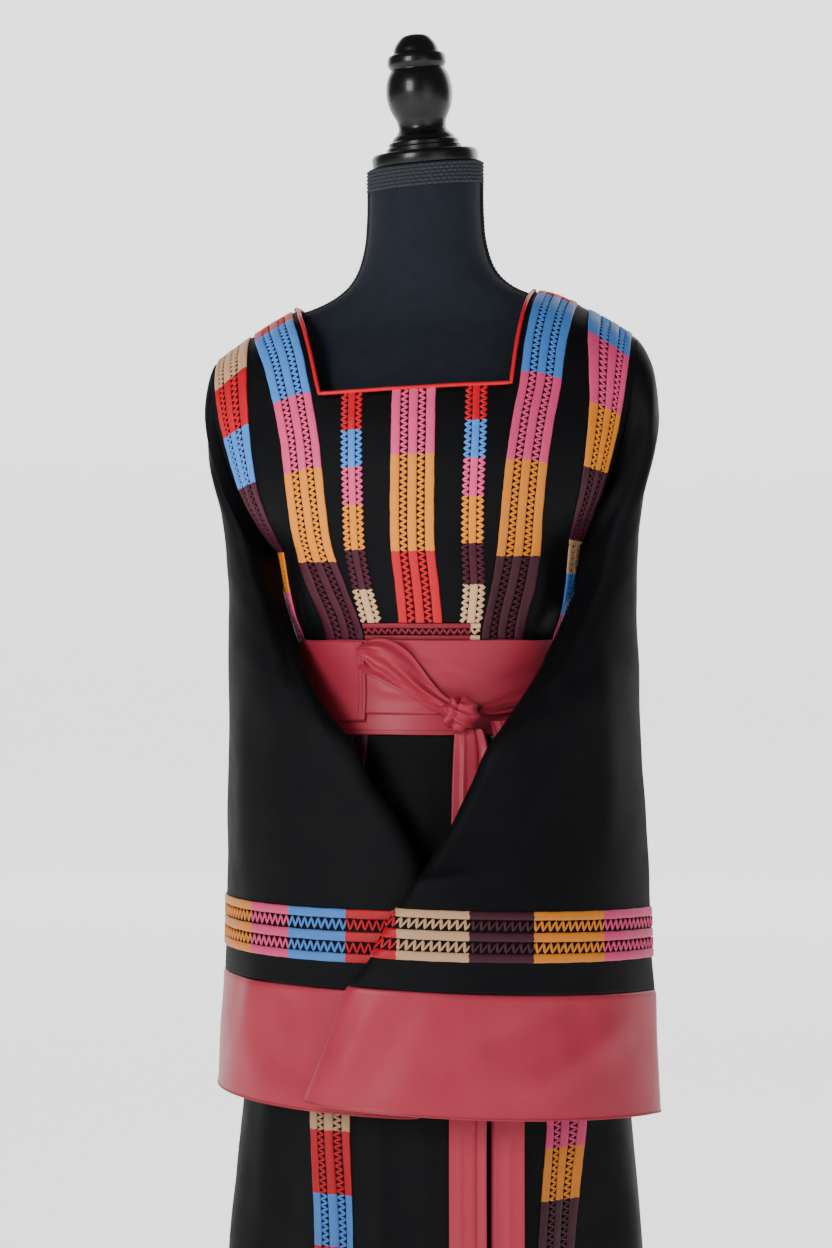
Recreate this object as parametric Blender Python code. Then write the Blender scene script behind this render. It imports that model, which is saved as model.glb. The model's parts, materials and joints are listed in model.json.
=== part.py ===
"""A Palestinian thobe dress worn by a limbless dress form on a pole stand.

Metres, +Z up, the dress faces -Y, and the origin is on the floor under the pole.
Angles round the body are in degrees: 0 is the centre front, 90 the side seam at +X, 180 the centre back.
"""

import math
from collections import namedtuple

import bmesh
import bpy
from mathutils import Matrix, Vector

# Cloth
WALL = 0.0015  # one layer of crepe
SEAM_GAP = 0.0003  # air between pieces that are sewn together
ARMHOLE_GAP = 0.0022  # the sleeve turns down hard at its seam, so its wall needs this much
TRIM_LIFT = 0.0006  # air between a trim and the cloth under it
TRIM_WALL = 0.0012
SATIN_WALL = 0.002  # satin folded double

# Stripe widths on the bodice and skirt
CENTRE_STRIPE = 0.044
MID_STRIPE = 0.040
NARROW_STRIPE = 0.023
WAIST_STRIPE_LEVEL = 9.16  # the body row where the stripe across the waist starts
WAIST_STRIPE_HALF_ANGLE = 23.6

# Neckline
NECK_HALF_TOP = 0.123  # at the shoulder seam
NECK_HALF_BOTTOM = 0.0975  # at the square corner
NECK_HALF_BACK = 0.112  # at the foot of the shallow back neckline
NECK_LEVEL = 3.0  # body row that the front neckline follows
BACK_NECK_LEVEL = 1.0
PIPING_RADIUS = 0.0022

# The whole figure stands a little askew: its shoulders tilt and its neck sways to one side
TILT = 0.050  # rise of one shoulder over the other, per metre across
TILT_FROM, TILT_FULL = 1.10, 1.34
SWAY_LOW, SWAY_HIGH = 0.005, -0.007
SWAY_FROM, SWAY_FULL = 0.90, 1.45

# One row for each height of the body, from the shoulder seam to the hem.
# hole is the share of the armhole passed and edge_x the half width.
# front and back are the depths on the centre line. fall is the power that shapes a row from centre to edge.
# The rest say where the stripes run.
BodyRow = namedtuple(
    "BodyRow", "height hole edge_x front back fall mid_x shift narrow_x outer_in outer_out"
)
BODY = (
    BodyRow(1.452, 0.00, 0.2220, 0.000, 0.000, 1.0, 0.1475, 0.000, 0.0750, 53, 78),
    BodyRow(1.431, 0.12, 0.2220, 0.056, 0.072, 1.3, 0.1420, 0.000, 0.0720, 53, 77),
    BodyRow(1.396, 0.26, 0.2220, 0.091, 0.092, 1.3, 0.1340, 0.000, 0.0680, 54, 76),
    BodyRow(1.349, 0.41, 0.2220, 0.118, 0.104, 1.3, 0.1265, 0.000, 0.0635, 56, 76),
    BodyRow(1.310, 0.56, 0.2200, 0.134, 0.113, 1.2, 0.1190, 0.000, 0.0630, 58, 77),
    BodyRow(1.270, 0.71, 0.2000, 0.142, 0.117, 1.1, 0.1135, -0.001, 0.0620, 61, 79),
    BodyRow(1.235, 0.86, 0.1800, 0.141, 0.117, 1.0, 0.1100, -0.0025, 0.0610, 64, 81),
    BodyRow(1.190, 1.00, 0.1600, 0.137, 0.115, 1.0, 0.1050, -0.004, 0.0600, 68, 83),
    BodyRow(1.150, 1.00, 0.1560, 0.131, 0.112, 1.0, 0.0950, -0.0015, 0.0570, 67, 82),
    BodyRow(1.115, 1.00, 0.1500, 0.124, 0.109, 1.0, 0.0840, 0.000, 0.0510, 65, 80),
    BodyRow(1.095, 1.00, 0.1445, 0.116, 0.105, 1.0, 0.0800, 0.000, 0.0480, 63, 79),
    BodyRow(1.045, 1.00, 0.1400, 0.110, 0.102, 1.0, 0.0780, 0.001, 0.0460, 62, 78),
    BodyRow(0.997, 1.00, 0.1470, 0.116, 0.109, 1.0, 0.0820, 0.004, 0.0480, 61, 78),
    BodyRow(0.940, 1.00, 0.1650, 0.130, 0.126, 1.0, 0.0950, 0.010, 0.0520, 61, 78),
    BodyRow(0.860, 1.00, 0.1820, 0.141, 0.143, 1.0, 0.1080, 0.017, 0.0600, 61, 78),
    BodyRow(0.750, 1.00, 0.1940, 0.150, 0.155, 1.0, 0.1170, 0.022, 0.0640, 61, 78),
    BodyRow(0.620, 1.00, 0.2030, 0.158, 0.165, 1.0, 0.1200, 0.025, 0.0660, 61, 78),
    BodyRow(0.455, 1.00, 0.2170, 0.170, 0.178, 1.0, 0.1110, 0.0245, 0.0660, 61, 78),
    BodyRow(0.240, 1.00, 0.2270, 0.187, 0.192, 1.0, 0.1130, 0.022, 0.0660, 61, 78),
    BodyRow(0.030, 1.00, 0.2350, 0.203, 0.206, 1.0, 0.1200, 0.020, 0.0660, 61, 78),
)
SHOULDER_DRIFT = {-1: -0.014, 1: -0.008}  # the stripes of each side stand off at the shoulder seam
UNDERARM_LEVEL = 7.0
BELT_TOP_LEVEL = 10.0
BELT_WAIST_LEVEL = 11.0
BELT_FOOT_LEVEL = 12.0
HEM_LEVEL = len(BODY) - 1.0
HALF_ROWS_FROM = 13  # below this row the walls also have a row half way to the next

# Soft folds of the skirt: where round the body, how wide, how proud at the hem, and where each dies out
Fold = namedtuple("Fold", "angle width depth top full")
SKIRT_FOLDS = (
    Fold(-68, 11, 0.011, 0.74, 0.25),
    Fold(-44, 9, -0.010, 0.80, 0.30),
    Fold(-14, 13, 0.011, 0.88, 0.22),
    Fold(12, 10, -0.008, 0.70, 0.20),
    Fold(52, 10, -0.009, 0.84, 0.30),
    Fold(72, 10, 0.012, 0.78, 0.25),
    Fold(106, 11, -0.012, 0.84, 0.20),
    Fold(128, 10, 0.016, 0.92, 0.25),
    Fold(152, 10, -0.013, 0.86, 0.30),
    Fold(176, 12, 0.018, 0.97, 0.20),
    Fold(-158, 9, -0.012, 0.84, 0.25),
    Fold(-134, 11, 0.017, 0.92, 0.30),
    Fold(-108, 10, -0.011, 0.84, 0.25),
)
# Soft folds where the bodice is drawn into the belt
BODICE_FOLDS = (
    Fold(-50, 6, 0.006, 1.22, 1.13),
    Fold(50, 6, 0.006, 1.22, 1.13),
    Fold(-33, 5, -0.003, 1.20, 1.13),
    Fold(33, 5, -0.003, 1.20, 1.13),
    Fold(125, 8, 0.006, 1.24, 1.13),
    Fold(155, 7, -0.004, 1.22, 1.13),
    Fold(-125, 8, 0.006, 1.24, 1.13),
    Fold(-155, 7, -0.004, 1.22, 1.13),
)

# One row for each section of a sleeve, from the armhole to the foot of the cuff.
# A section is a flat tube. Its outer fold is the shoulder line and its inner fold the underarm seam.
# Between them it bends round the body on an ellipse. turn is how far the tube's thickness faces outward.
SleeveRow = namedtuple(
    "SleeveRow",
    "rx_outer rx_inner ry angle_outer angle_inner z_outer z_inner half_thick end turn bow",
)
SLEEVE_RIGHT = (
    SleeveRow(0.2220, 0.1600, 0.100, 90, 90, 1.397, 1.190, 0.052, 0.62, 0.00, 0.016),
    SleeveRow(0.2360, 0.1614, 0.115, 90, 82.5, 1.366, 1.176, 0.050, 0.62, 0.05, 0.017),
    SleeveRow(0.2410, 0.1630, 0.120, 89, 72.5, 1.315, 1.155, 0.045, 0.62, 0.08, 0.010),
    SleeveRow(0.2210, 0.1653, 0.140, 88, 62.8, 1.252, 1.128, 0.034, 0.62, 0.20, 0.009),
    SleeveRow(0.2100, 0.1671, 0.152, 87, 52.7, 1.207, 1.095, 0.026, 0.56, 0.35, 0.009),
    SleeveRow(0.2070, 0.1696, 0.166, 86, 42.7, 1.167, 1.060, 0.020, 0.46, 0.55, 0.006),
    SleeveRow(0.2065, 0.1735, 0.176, 85, 32.8, 1.128, 1.027, 0.016, 0.38, 0.70, 0.004),
    SleeveRow(0.2055, 0.2008, 0.181, 84, 20.1, 1.072, 0.990, 0.013, 0.20, 1.00, 0.001),
    SleeveRow(0.2070, 0.2070, 0.185, 82, 14, 1.005, 0.950, 0.012, 0.13, 1.00, 0.000),
    SleeveRow(0.2130, 0.2130, 0.193, 80, 8, 0.930, 0.907, 0.011, 0.10, 1.00, 0.000),
    SleeveRow(0.2200, 0.2200, 0.206, 78, 0, 0.865, 0.860, 0.010, 0.09, 1.00, 0.000),
    SleeveRow(0.2230, 0.2230, 0.213, 77, -5.3, 0.818, 0.830, 0.010, 0.09, 1.00, 0.000),
    SleeveRow(0.2260, 0.2260, 0.217, 76, -11.7, 0.768, 0.782, 0.010, 0.09, 1.00, 0.000),
    SleeveRow(0.2290, 0.2290, 0.219, 76, -17, 0.736, 0.755, 0.010, 0.09, 1.00, 0.000),
    SleeveRow(0.2320, 0.2320, 0.222, 75, -22.5, 0.675, 0.697, 0.011, 0.10, 1.00, 0.000),
    SleeveRow(0.2350, 0.2350, 0.225, 75, -28.5, 0.612, 0.638, 0.012, 0.11, 1.00, 0.000),
)
SLEEVE_LEFT = (
    SleeveRow(0.2220, 0.1600, 0.100, 90, 90, 1.397, 1.190, 0.052, 0.62, 0.00, 0.016),
    SleeveRow(0.2265, 0.1614, 0.115, 90, 82.5, 1.367, 1.176, 0.048, 0.62, 0.04, 0.014),
    SleeveRow(0.2270, 0.1630, 0.120, 90.5, 72.5, 1.322, 1.155, 0.042, 0.62, 0.06, 0.007),
    SleeveRow(0.2120, 0.1653, 0.140, 91.5, 62.8, 1.260, 1.128, 0.031, 0.62, 0.15, 0.007),
    SleeveRow(0.2030, 0.1680, 0.150, 93, 52.2, 1.208, 1.095, 0.023, 0.56, 0.31, 0.007),
    SleeveRow(0.2010, 0.1778, 0.160, 96, 40.3, 1.165, 1.060, 0.017, 0.46, 0.52, 0.004),
    SleeveRow(0.2010, 0.1940, 0.167, 100, 29, 1.125, 1.027, 0.014, 0.38, 0.70, 0.002),
    SleeveRow(0.2030, 0.2059, 0.171, 104.5, 18.7, 1.072, 0.992, 0.011, 0.20, 1.00, 0.000),
    SleeveRow(0.2060, 0.2060, 0.173, 108, 13, 1.005, 0.956, 0.010, 0.13, 1.00, 0.000),
    SleeveRow(0.2080, 0.2080, 0.177, 111, 5, 0.930, 0.915, 0.010, 0.10, 1.00, 0.000),
    SleeveRow(0.2090, 0.2090, 0.181, 113, -1.5, 0.865, 0.866, 0.009, 0.09, 1.00, 0.000),
    SleeveRow(0.2095, 0.2095, 0.183, 114, -4, 0.826, 0.824, 0.009, 0.09, 1.00, 0.000),
    SleeveRow(0.2105, 0.2105, 0.186, 115, -4, 0.776, 0.772, 0.009, 0.09, 1.00, 0.000),
    SleeveRow(0.2110, 0.2110, 0.187, 116, -3, 0.752, 0.746, 0.009, 0.09, 1.00, 0.000),
    SleeveRow(0.2140, 0.2140, 0.189, 117, -2, 0.692, 0.684, 0.010, 0.10, 1.00, 0.000),
    SleeveRow(0.2170, 0.2170, 0.191, 118, -1, 0.634, 0.622, 0.010, 0.11, 1.00, 0.000),
)
CUFF_LEVEL = 13.0  # the satin cuff starts here
SLEEVE_FOOT_LEVEL = len(SLEEVE_RIGHT) - 1.0
SLEEVE_STRIPE_LEVELS = (10.95, 11.95)
ARMHOLE_SHARES = (0.0, 0.03, 0.12, 0.26, 0.41, 0.56, 0.71, 0.86, 0.95, 0.99, 1.0)
FLAT_END = 0.20  # a section is fully flat below this end
RING_STEPS = (0.0, 0.10, 0.45, 1.0)  # shares of a fold's rounding where a flat section has its points

# The dress form: half width and depths of its rings, and the power that squares them
FormRow = namedtuple("FormRow", "height half front back squareness")
FORM = (
    FormRow(0.800, 0.146, 0.096, 0.110, 2.1),
    FormRow(0.812, 0.156, 0.104, 0.118, 2.1),
    FormRow(0.880, 0.160, 0.110, 0.122, 2.1),
    FormRow(0.960, 0.146, 0.104, 0.110, 2.1),
    FormRow(1.045, 0.122, 0.088, 0.086, 2.0),
    FormRow(1.120, 0.128, 0.096, 0.088, 2.0),
    FormRow(1.200, 0.138, 0.116, 0.096, 2.0),
    FormRow(1.270, 0.150, 0.126, 0.101, 2.0),
    FormRow(1.320, 0.162, 0.113, 0.098, 2.0),
    FormRow(1.355, 0.176, 0.096, 0.089, 1.9),
    FormRow(1.386, 0.184, 0.074, 0.077, 1.7),
    FormRow(1.404, 0.188, 0.060, 0.066, 1.55),
    FormRow(1.4155, 0.184, 0.051, 0.060, 1.5),
    FormRow(1.4252, 0.1755, 0.045, 0.055, 1.5),
    FormRow(1.4393, 0.1490, 0.041, 0.052, 1.5),
    FormRow(1.4455, 0.1220, 0.042, 0.053, 1.6),
    FormRow(1.4510, 0.1060, 0.044, 0.055, 1.7),
    FormRow(1.4580, 0.0920, 0.047, 0.058, 1.8),
    FormRow(1.4700, 0.0775, 0.050, 0.061, 1.9),
    FormRow(1.4880, 0.0670, 0.053, 0.063, 2.0),
    FormRow(1.520, 0.060, 0.053, 0.062, 2.05),
    FormRow(1.555, 0.0585, 0.053, 0.061, 2.05),
    FormRow(1.592, 0.0590, 0.054, 0.061, 2.05),
)
FORM_SIDES = 28

# The wooden cap and finial on the neck
CAP_TILT_ACROSS = math.radians(4.5)
CAP_TILT_FORWARD = math.radians(5.0)
CAP_CENTRE = Vector((-0.007, 0.004, FORM[-1].height + 0.0008))
CAP_RADIUS, CAP_THICK = 0.056, 0.0145
BAND_GAP, BAND_WALL, BAND_HEIGHT = 0.0010, 0.0030, 0.023
TurnedRow = namedtuple("TurnedRow", "height radius")
FINIAL = (  # heights above the cap, radii of the turned wood
    TurnedRow(0.0003, 0.0375),
    TurnedRow(0.0050, 0.0375),
    TurnedRow(0.0065, 0.0352),
    TurnedRow(0.0100, 0.0352),
    TurnedRow(0.0120, 0.0325),
    TurnedRow(0.0160, 0.0300),
    TurnedRow(0.0205, 0.0255),
    TurnedRow(0.0255, 0.0238),
    TurnedRow(0.0320, 0.0246),
    TurnedRow(0.0420, 0.0290),
    TurnedRow(0.0520, 0.0322),
    TurnedRow(0.0620, 0.0332),
    TurnedRow(0.0720, 0.0323),
    TurnedRow(0.0800, 0.0300),
    TurnedRow(0.0865, 0.0266),
    TurnedRow(0.0885, 0.0276),
    TurnedRow(0.0925, 0.0293),
    TurnedRow(0.0970, 0.0290),
    TurnedRow(0.1010, 0.0264),
    TurnedRow(0.1030, 0.0222),
    TurnedRow(0.1090, 0.0205),
    TurnedRow(0.1160, 0.0164),
    TurnedRow(0.1215, 0.0096),
    TurnedRow(0.1232, 0.0000),
)

# The stand
BASE_RADIUS, BASE_THICK, BASE_BEVEL = 0.180, 0.014, 0.004
POLE_RADIUS = 0.0125
COLLAR_RADIUS, COLLAR_HEIGHT = 0.024, 0.030

# The belt
BELT_LIFT = TRIM_LIFT + TRIM_WALL + 0.0006
FLAP_ANGLES = (-80.0, -24.0)
FLAP_LIFT = BELT_LIFT + SATIN_WALL + 0.0018
KNOT_CENTRE = Vector((0.047, -0.1276, 1.021))
KNOT_SIZE = Vector((0.021, 0.014, 0.024))
TIE_LIFT = BELT_LIFT + SATIN_WALL + 0.0007
TAIL_GAP = 0.0007  # air between a tail and what it hangs on
TailRow = namedtuple("TailRow", "height left right")
TAIL_FRONT = (
    TailRow(0.9976, 0.034, 0.068),
    TailRow(0.985, 0.033, 0.070),
    TailRow(0.930, 0.033, 0.073),
    TailRow(0.860, 0.033, 0.073),
    TailRow(0.780, 0.034, 0.073),
    TailRow(0.620, 0.035, 0.073),
    TailRow(0.455, 0.036, 0.074),
    TailRow(0.320, 0.037, 0.075),
)
TAIL_BACK = (
    TailRow(1.012, 0.0765, 0.090),
    TailRow(0.997, 0.0765, 0.093),
    TailRow(0.985, 0.0765, 0.095),
    TailRow(0.930, 0.0765, 0.102),
    TailRow(0.860, 0.0765, 0.105),
    TailRow(0.780, 0.0765, 0.107),
    TailRow(0.620, 0.0765, 0.110),
    TailRow(0.455, 0.0775, 0.111),
    TailRow(0.350, 0.0785, 0.112),
)
TieRow = namedtuple("TieRow", "angle height half")
TIE_LEFT = (  # from under the flap's top corner, down across the belt to the knot
    TieRow(-22.5, 1.0860, 0.0075),
    TieRow(-18.0, 1.0810, 0.0130),
    TieRow(-12.0, 1.0720, 0.0165),
    TieRow(-6.0, 1.0600, 0.0150),
    TieRow(0.0, 1.0480, 0.0120),
    TieRow(7.0, 1.0350, 0.0080),
)
TIE_RIGHT = (  # from the knot, along the belt to the side
    TieRow(30.5, 1.0250, 0.0050),
    TieRow(38.0, 1.0280, 0.0060),
    TieRow(46.0, 1.0320, 0.0080),
    TieRow(54.0, 1.0360, 0.0100),
    TieRow(62.0, 1.0390, 0.0120),
)

COLOURS = {  # base colour, roughness, metallic
    "black_crepe": ((0.010, 0.011, 0.014, 1), 0.70, 0.0),
    "rose_satin": ((0.50, 0.105, 0.125, 1), 0.38, 0.0),
    "stripe_thread": ((0.62, 0.20, 0.14, 1), 0.55, 0.0),
    "red_piping": ((0.62, 0.02, 0.035, 1), 0.40, 0.0),
    "form_jersey": ((0.018, 0.021, 0.028, 1), 0.85, 0.0),
    "black_wood": ((0.010, 0.010, 0.011, 1), 0.25, 0.0),
    "black_metal": ((0.015, 0.015, 0.016, 1), 0.40, 0.9),
}


def smooth_step(value, start, end):
    share = min(1.0, max(0.0, (value - start) / (end - start)))
    return share * share * (3.0 - 2.0 * share)


def read_rows(rows, level):
    """The row at a level between two rows of a table, on a smooth curve through the rows."""
    level = min(max(level, 0.0), len(rows) - 1.0)
    low = min(int(level), len(rows) - 2)
    t = level - low
    before, start = rows[max(low - 1, 0)], rows[low]
    end, after = rows[low + 1], rows[min(low + 2, len(rows) - 1)]
    values = []
    for a, b, c, d in zip(before, start, end, after):
        slope_in, slope_out = limited_slope(b - a, c - b), limited_slope(c - b, d - c)
        values.append(
            (2 * t**3 - 3 * t**2 + 1) * b
            + (t**3 - 2 * t**2 + t) * slope_in
            + (3 * t**2 - 2 * t**3) * c
            + (t**3 - t**2) * slope_out
        )
    return type(start)(*values)


def limited_slope(rise_before, rise_after):
    """A slope at a row that never overshoots its neighbours."""
    if rise_before * rise_after <= 0:
        return 0.0
    return 2 * rise_before * rise_after / (rise_before + rise_after)


def settle(point):
    """The figure stands askew: the point after the tilt of the shoulders and the sway of the neck."""
    tilt = TILT * smooth_step(point.z, TILT_FROM, TILT_FULL)
    sway = SWAY_LOW + (SWAY_HIGH - SWAY_LOW) * smooth_step(point.z, SWAY_FROM, SWAY_FULL)
    return Vector((point.x + sway, point.y, point.z + tilt * point.x))


def end_shape(share, end):
    """How thick a flat tube is at a share of its width: round at both folds, even between."""
    from_fold = 1.0 - abs(2.0 * share - 1.0)
    if from_fold >= end:
        return 1.0
    return math.sqrt(max(0.0, 1.0 - (1.0 - from_fold / end) ** 2))


def sleeve_section(row, share, layer):
    """A point on one section of a sleeve at +X. layer is 1 on the outside and -1 towards the body."""
    angle = math.radians(row.angle_outer + (row.angle_inner - row.angle_outer) * share)
    radius_x = row.rx_outer + (row.rx_inner - row.rx_outer) * share
    bow = row.bow * 4.0 * share * (1.0 - share)
    middle = Vector(
        (
            radius_x * math.sin(angle) + bow,
            -row.ry * math.cos(angle),
            row.z_outer + (row.z_inner - row.z_outer) * share,
        )
    )
    faces = angle * row.turn
    thick = layer * row.half_thick * end_shape(share, row.end)
    return middle + thick * Vector((math.sin(faces), -math.cos(faces), 0.0))


def armhole(share, layer):
    return sleeve_section(SLEEVE_RIGHT[0], share, layer)


def fold_depth(folds, angle, height):
    depth = 0.0
    for fold in folds:
        away = (angle - fold.angle + 180.0) % 360.0 - 180.0
        rise = smooth_step(fold.top - height, 0.0, fold.top - fold.full)
        depth += fold.depth * rise * math.exp(-((away / fold.width) ** 2))
    return depth


def bodice_fade(height):
    """The bodice folds die out again under the belt."""
    return smooth_step(height, 1.085, 1.125)


def body_surface(level, angle, side=0):
    """A point on the outside of the dress body.

    side is 1 for the front panel, -1 for the back and 0 to take the panel from the angle.
    """
    row = read_rows(BODY, level)
    turn = math.radians(angle)
    across, ahead = math.sin(turn), math.cos(turn)
    facing = side or (1 if ahead >= 0 else -1)
    edge = Vector((row.edge_x, 0.0, row.height))
    if row.hole < 1.0:
        edge = armhole(row.hole, facing)
    edge_y = abs(edge.y)
    reach = row.front if facing > 0 else row.back
    depth = edge_y + (reach - edge_y) * abs(ahead) ** row.fall
    if level == 0.0:
        depth = 0.0
    slope = max(0.0, (abs(across) - 0.55) / 0.45) ** 1.3
    height = row.height + (edge.z - row.height) * slope
    out = fold_depth(SKIRT_FOLDS, angle, height)
    out += fold_depth(BODICE_FOLDS, angle, height) * bodice_fade(height)
    return settle(
        Vector((edge.x * across + out * across, -facing * (depth + out * abs(ahead)), height))
    )


def surface_normal(surface, u, v, step_u, step_v):
    """The outward normal of a surface of two numbers, from its neighbours."""
    along_u = surface(u + step_u, v) - surface(u - step_u, v)
    along_v = surface(u, v + step_v) - surface(u, v - step_v)
    return along_u.cross(along_v).normalized()


def body_point(level, angle, out=0.0, side=0):
    """A point a distance out from the body's surface."""
    angle = wrap(angle)
    side = side or (1 if abs(angle) < 90.0 else -1)
    point = body_surface(level, angle, side)
    if out == 0.0:
        return point
    if level < 0.02:  # the ridge of the shoulder, shared by front and back
        slope = body_surface(0.0, angle + 1.0, side) - body_surface(0.0, angle - 1.0, side)
        normal = Vector((-slope.z, 0.0, slope.x)).normalized()
        normal *= 1.0 if normal.z > 0 else -1.0
    elif abs(abs(angle) - 90.0) < 0.5 and level >= UNDERARM_LEVEL:
        normal = Vector((math.copysign(1.0, angle), 0.0, 0.0))
    else:
        inside = min(max(angle, -89.0), 89.0) if side > 0 else angle
        if side < 0 and abs(angle) < 91.0:
            inside = math.copysign(91.0, angle)
        normal = surface_normal(
            lambda u, v: body_surface(u, v, side), max(level, 0.06), inside, 0.05, 0.8
        )
    return point + out * normal


def stripe_angle(level, x):
    """The angle at which the front or back row stands at x."""
    row = read_rows(BODY, level)
    edge_x = armhole(row.hole, 1).x if row.hole < 1.0 else row.edge_x
    return math.degrees(math.asin(max(-0.999, min(0.999, x / edge_x))))


def shoulder_drift(level, hand):
    return SHOULDER_DRIFT[hand] * max(0.0, 1.0 - level / NECK_LEVEL)


def front_columns(level):
    """Angles of the front panel's columns at a level. Stripe edges fall on columns."""
    row = read_rows(BODY, level)
    neck = NECK_HALF_TOP + (NECK_HALF_BOTTOM - NECK_HALF_TOP) * min(1.0, level / NECK_LEVEL)
    angles = {}
    for hand in (-1, 1):
        drift = shoulder_drift(level, hand)
        narrow = hand * row.narrow_x + row.shift + drift
        mid = hand * row.mid_x + row.shift + drift
        middle = [
            stripe_angle(level, hand * CENTRE_STRIPE / 2 + row.shift),
            stripe_angle(level, narrow - hand * NARROW_STRIPE / 2),
            stripe_angle(level, narrow + hand * NARROW_STRIPE / 2),
            stripe_angle(level, mid - hand * MID_STRIPE / 2),
            stripe_angle(level, mid),
            stripe_angle(level, mid + hand * MID_STRIPE / 2),
        ]
        if level <= NECK_LEVEL:  # the corner of the neckline is a column too
            middle[2] = stripe_angle(level, hand * neck + drift)
        turn = math.degrees(drift / row.edge_x)
        inner, outer = hand * row.outer_in + turn, hand * row.outer_out + turn / 2
        gap = (middle[-1] + inner) / 2
        angles[hand] = middle + [gap, inner, (inner + outer) / 2, outer, hand * side_seam_angle()]
    centre = (angles[-1][0] + angles[1][0]) / 2
    return angles[-1][::-1] + [centre] + angles[1]


def side_seam_angle():
    return 90.0 - 0.08


def back_columns(level):
    """Angles of the back panel's columns, from the seam at +X round to the seam at -X."""
    row = read_rows(BODY, level)
    halves = {}
    for hand in (-1, 1):
        drift = shoulder_drift(level, hand)
        inner = row.mid_x - MID_STRIPE / 2
        neck = 0.8 * inner
        if level <= BACK_NECK_LEVEL:
            neck = NECK_HALF_TOP + (NECK_HALF_BACK - NECK_HALF_TOP) * level / BACK_NECK_LEVEL
        places = (0.4 * neck, neck, inner, row.mid_x, row.mid_x + MID_STRIPE / 2)
        half = [stripe_angle(level, hand * x + drift) * hand for x in places]
        turn = math.degrees(drift / row.edge_x) * hand
        first, last = row.outer_in + turn, row.outer_out + turn / 2
        half += [(half[-1] + first) / 2, first, (first + last) / 2, last, side_seam_angle()]
        halves[hand] = half
    plus = [180.0 - a for a in reversed(halves[1])]
    return plus + [180.0] + [180.0 + a for a in halves[-1]]


def wrap(angle):
    return (angle + 180.0) % 360.0 - 180.0


FRONT_COLUMN = {"centre": (10, 12), "narrow": 2, "mid": 4, "outer": 8}


def body_levels(start, end):
    """The levels of the body's rows of points between two levels."""
    levels = [float(n) for n in range(len(BODY))]
    levels += [n + 0.5 for n in range(HALF_ROWS_FROM, len(BODY) - 1)]
    return sorted([n for n in levels if start < n < end] + [start, end])


def new_object(name, mesh, colour):
    material = bpy.data.materials.get(colour) or bpy.data.materials.new(colour)
    if not material.use_nodes:
        material.use_nodes = True
        shader = material.node_tree.nodes["Principled BSDF"]
        base, roughness, metallic = COLOURS[colour]
        shader.inputs["Base Color"].default_value = base
        shader.inputs["Roughness"].default_value = roughness
        shader.inputs["Metallic"].default_value = metallic
    mesh.materials.append(material)
    mesh.shade_smooth()
    mesh.set_sharp_from_angle(angle=math.radians(40))
    piece = bpy.data.objects.new(name, mesh)
    bpy.context.scene.collection.objects.link(piece)
    return piece


def face_out(bm):
    """Turns every face of one closed body outward."""
    bmesh.ops.recalc_face_normals(bm, faces=bm.faces[:])
    if bm.calc_volume(signed=True) < 0:
        bmesh.ops.reverse_faces(bm, faces=bm.faces[:])


def cloth_wall(name, colour, rows, columns, outer, inner, closed=False, keep=None):
    """A wall of cloth: a grid laid on outer(row, column), given its thickness down to inner(row, column).

    If inner is a number, it is the thickness, taken along the normals of the grid.
    """
    bm = bmesh.new()
    row_of, column_of = (bm.verts.layers.int.new(n) for n in ("row", "column"))
    bmesh.ops.create_grid(bm, x_segments=columns - 1, y_segments=rows - 1, size=0.5)
    for v in bm.verts:
        v[column_of] = round((v.co.x + 0.5) * (columns - 1))
        v[row_of] = round((v.co.y + 0.5) * (rows - 1))
    if keep:
        gone = [f for f in bm.faces if not keep(*cell_of(f, row_of, column_of))]
        bmesh.ops.delete(bm, geom=gone, context="FACES")
    if closed:
        first = {v[row_of]: v for v in bm.verts if v[column_of] == 0}
        last = [v for v in bm.verts if v[column_of] == columns - 1]
        bmesh.ops.weld_verts(bm, targetmap={v: first[v[row_of]] for v in last})
    for face in bm.faces[:]:
        split_along_grid(face, row_of, column_of, columns, closed)
    for v in bm.verts:
        v.co = outer(v[row_of], v[column_of])
    bm.normal_update()
    lining = {}
    for v in bm.verts:
        key = v[row_of], v[column_of]
        lining[key] = inner(*key) if callable(inner) else v.co - inner * v.normal
    grown = bmesh.ops.extrude_face_region(bm, geom=bm.faces[:])["geom"]
    outside = {e for e in grown if isinstance(e, bmesh.types.BMVert)}
    for v in bm.verts:
        if v not in outside:
            v.co = lining[v[row_of], v[column_of]]
    face_out(bm)
    mesh = bpy.data.meshes.new(name)
    bm.to_mesh(mesh)
    bm.free()
    return new_object(name, mesh, colour)


def cell_of(face, row_of, column_of):
    return min(v[row_of] for v in face.verts), min(v[column_of] for v in face.verts)


def split_along_grid(face, row_of, column_of, columns, closed):
    """Splits a cell along the same diagonal as every other, so that layers laid on each other stay apart."""
    rows = [v[row_of] for v in face.verts]
    places = [v[column_of] for v in face.verts]
    if closed and max(places) - min(places) > 1:  # the cell that closes the tube
        places = [c if c else columns - 1 for c in places]
    keys = [(r - min(rows)) + (c - min(places)) for r, c in zip(rows, places)]
    low, high = face.verts[keys.index(0)], face.verts[keys.index(2)]
    bmesh.utils.face_split(face, low, high)


def body_wall(name, levels, columns_at, side, keep=None):
    """The front or back of the dress, from the shoulder seam to the hem."""
    table = [columns_at(level) for level in levels]

    def place(out):
        def point(i, j):
            level, angle = levels[i], table[i][j]
            spot = body_point(level, angle, out, side)
            if level == 0.0:
                spot.y = -side * SEAM_GAP
            return spot

        return point

    return cloth_wall(
        name, "black_crepe", len(levels), len(table[0]), place(0.0), place(-WALL), keep=keep
    )


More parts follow.
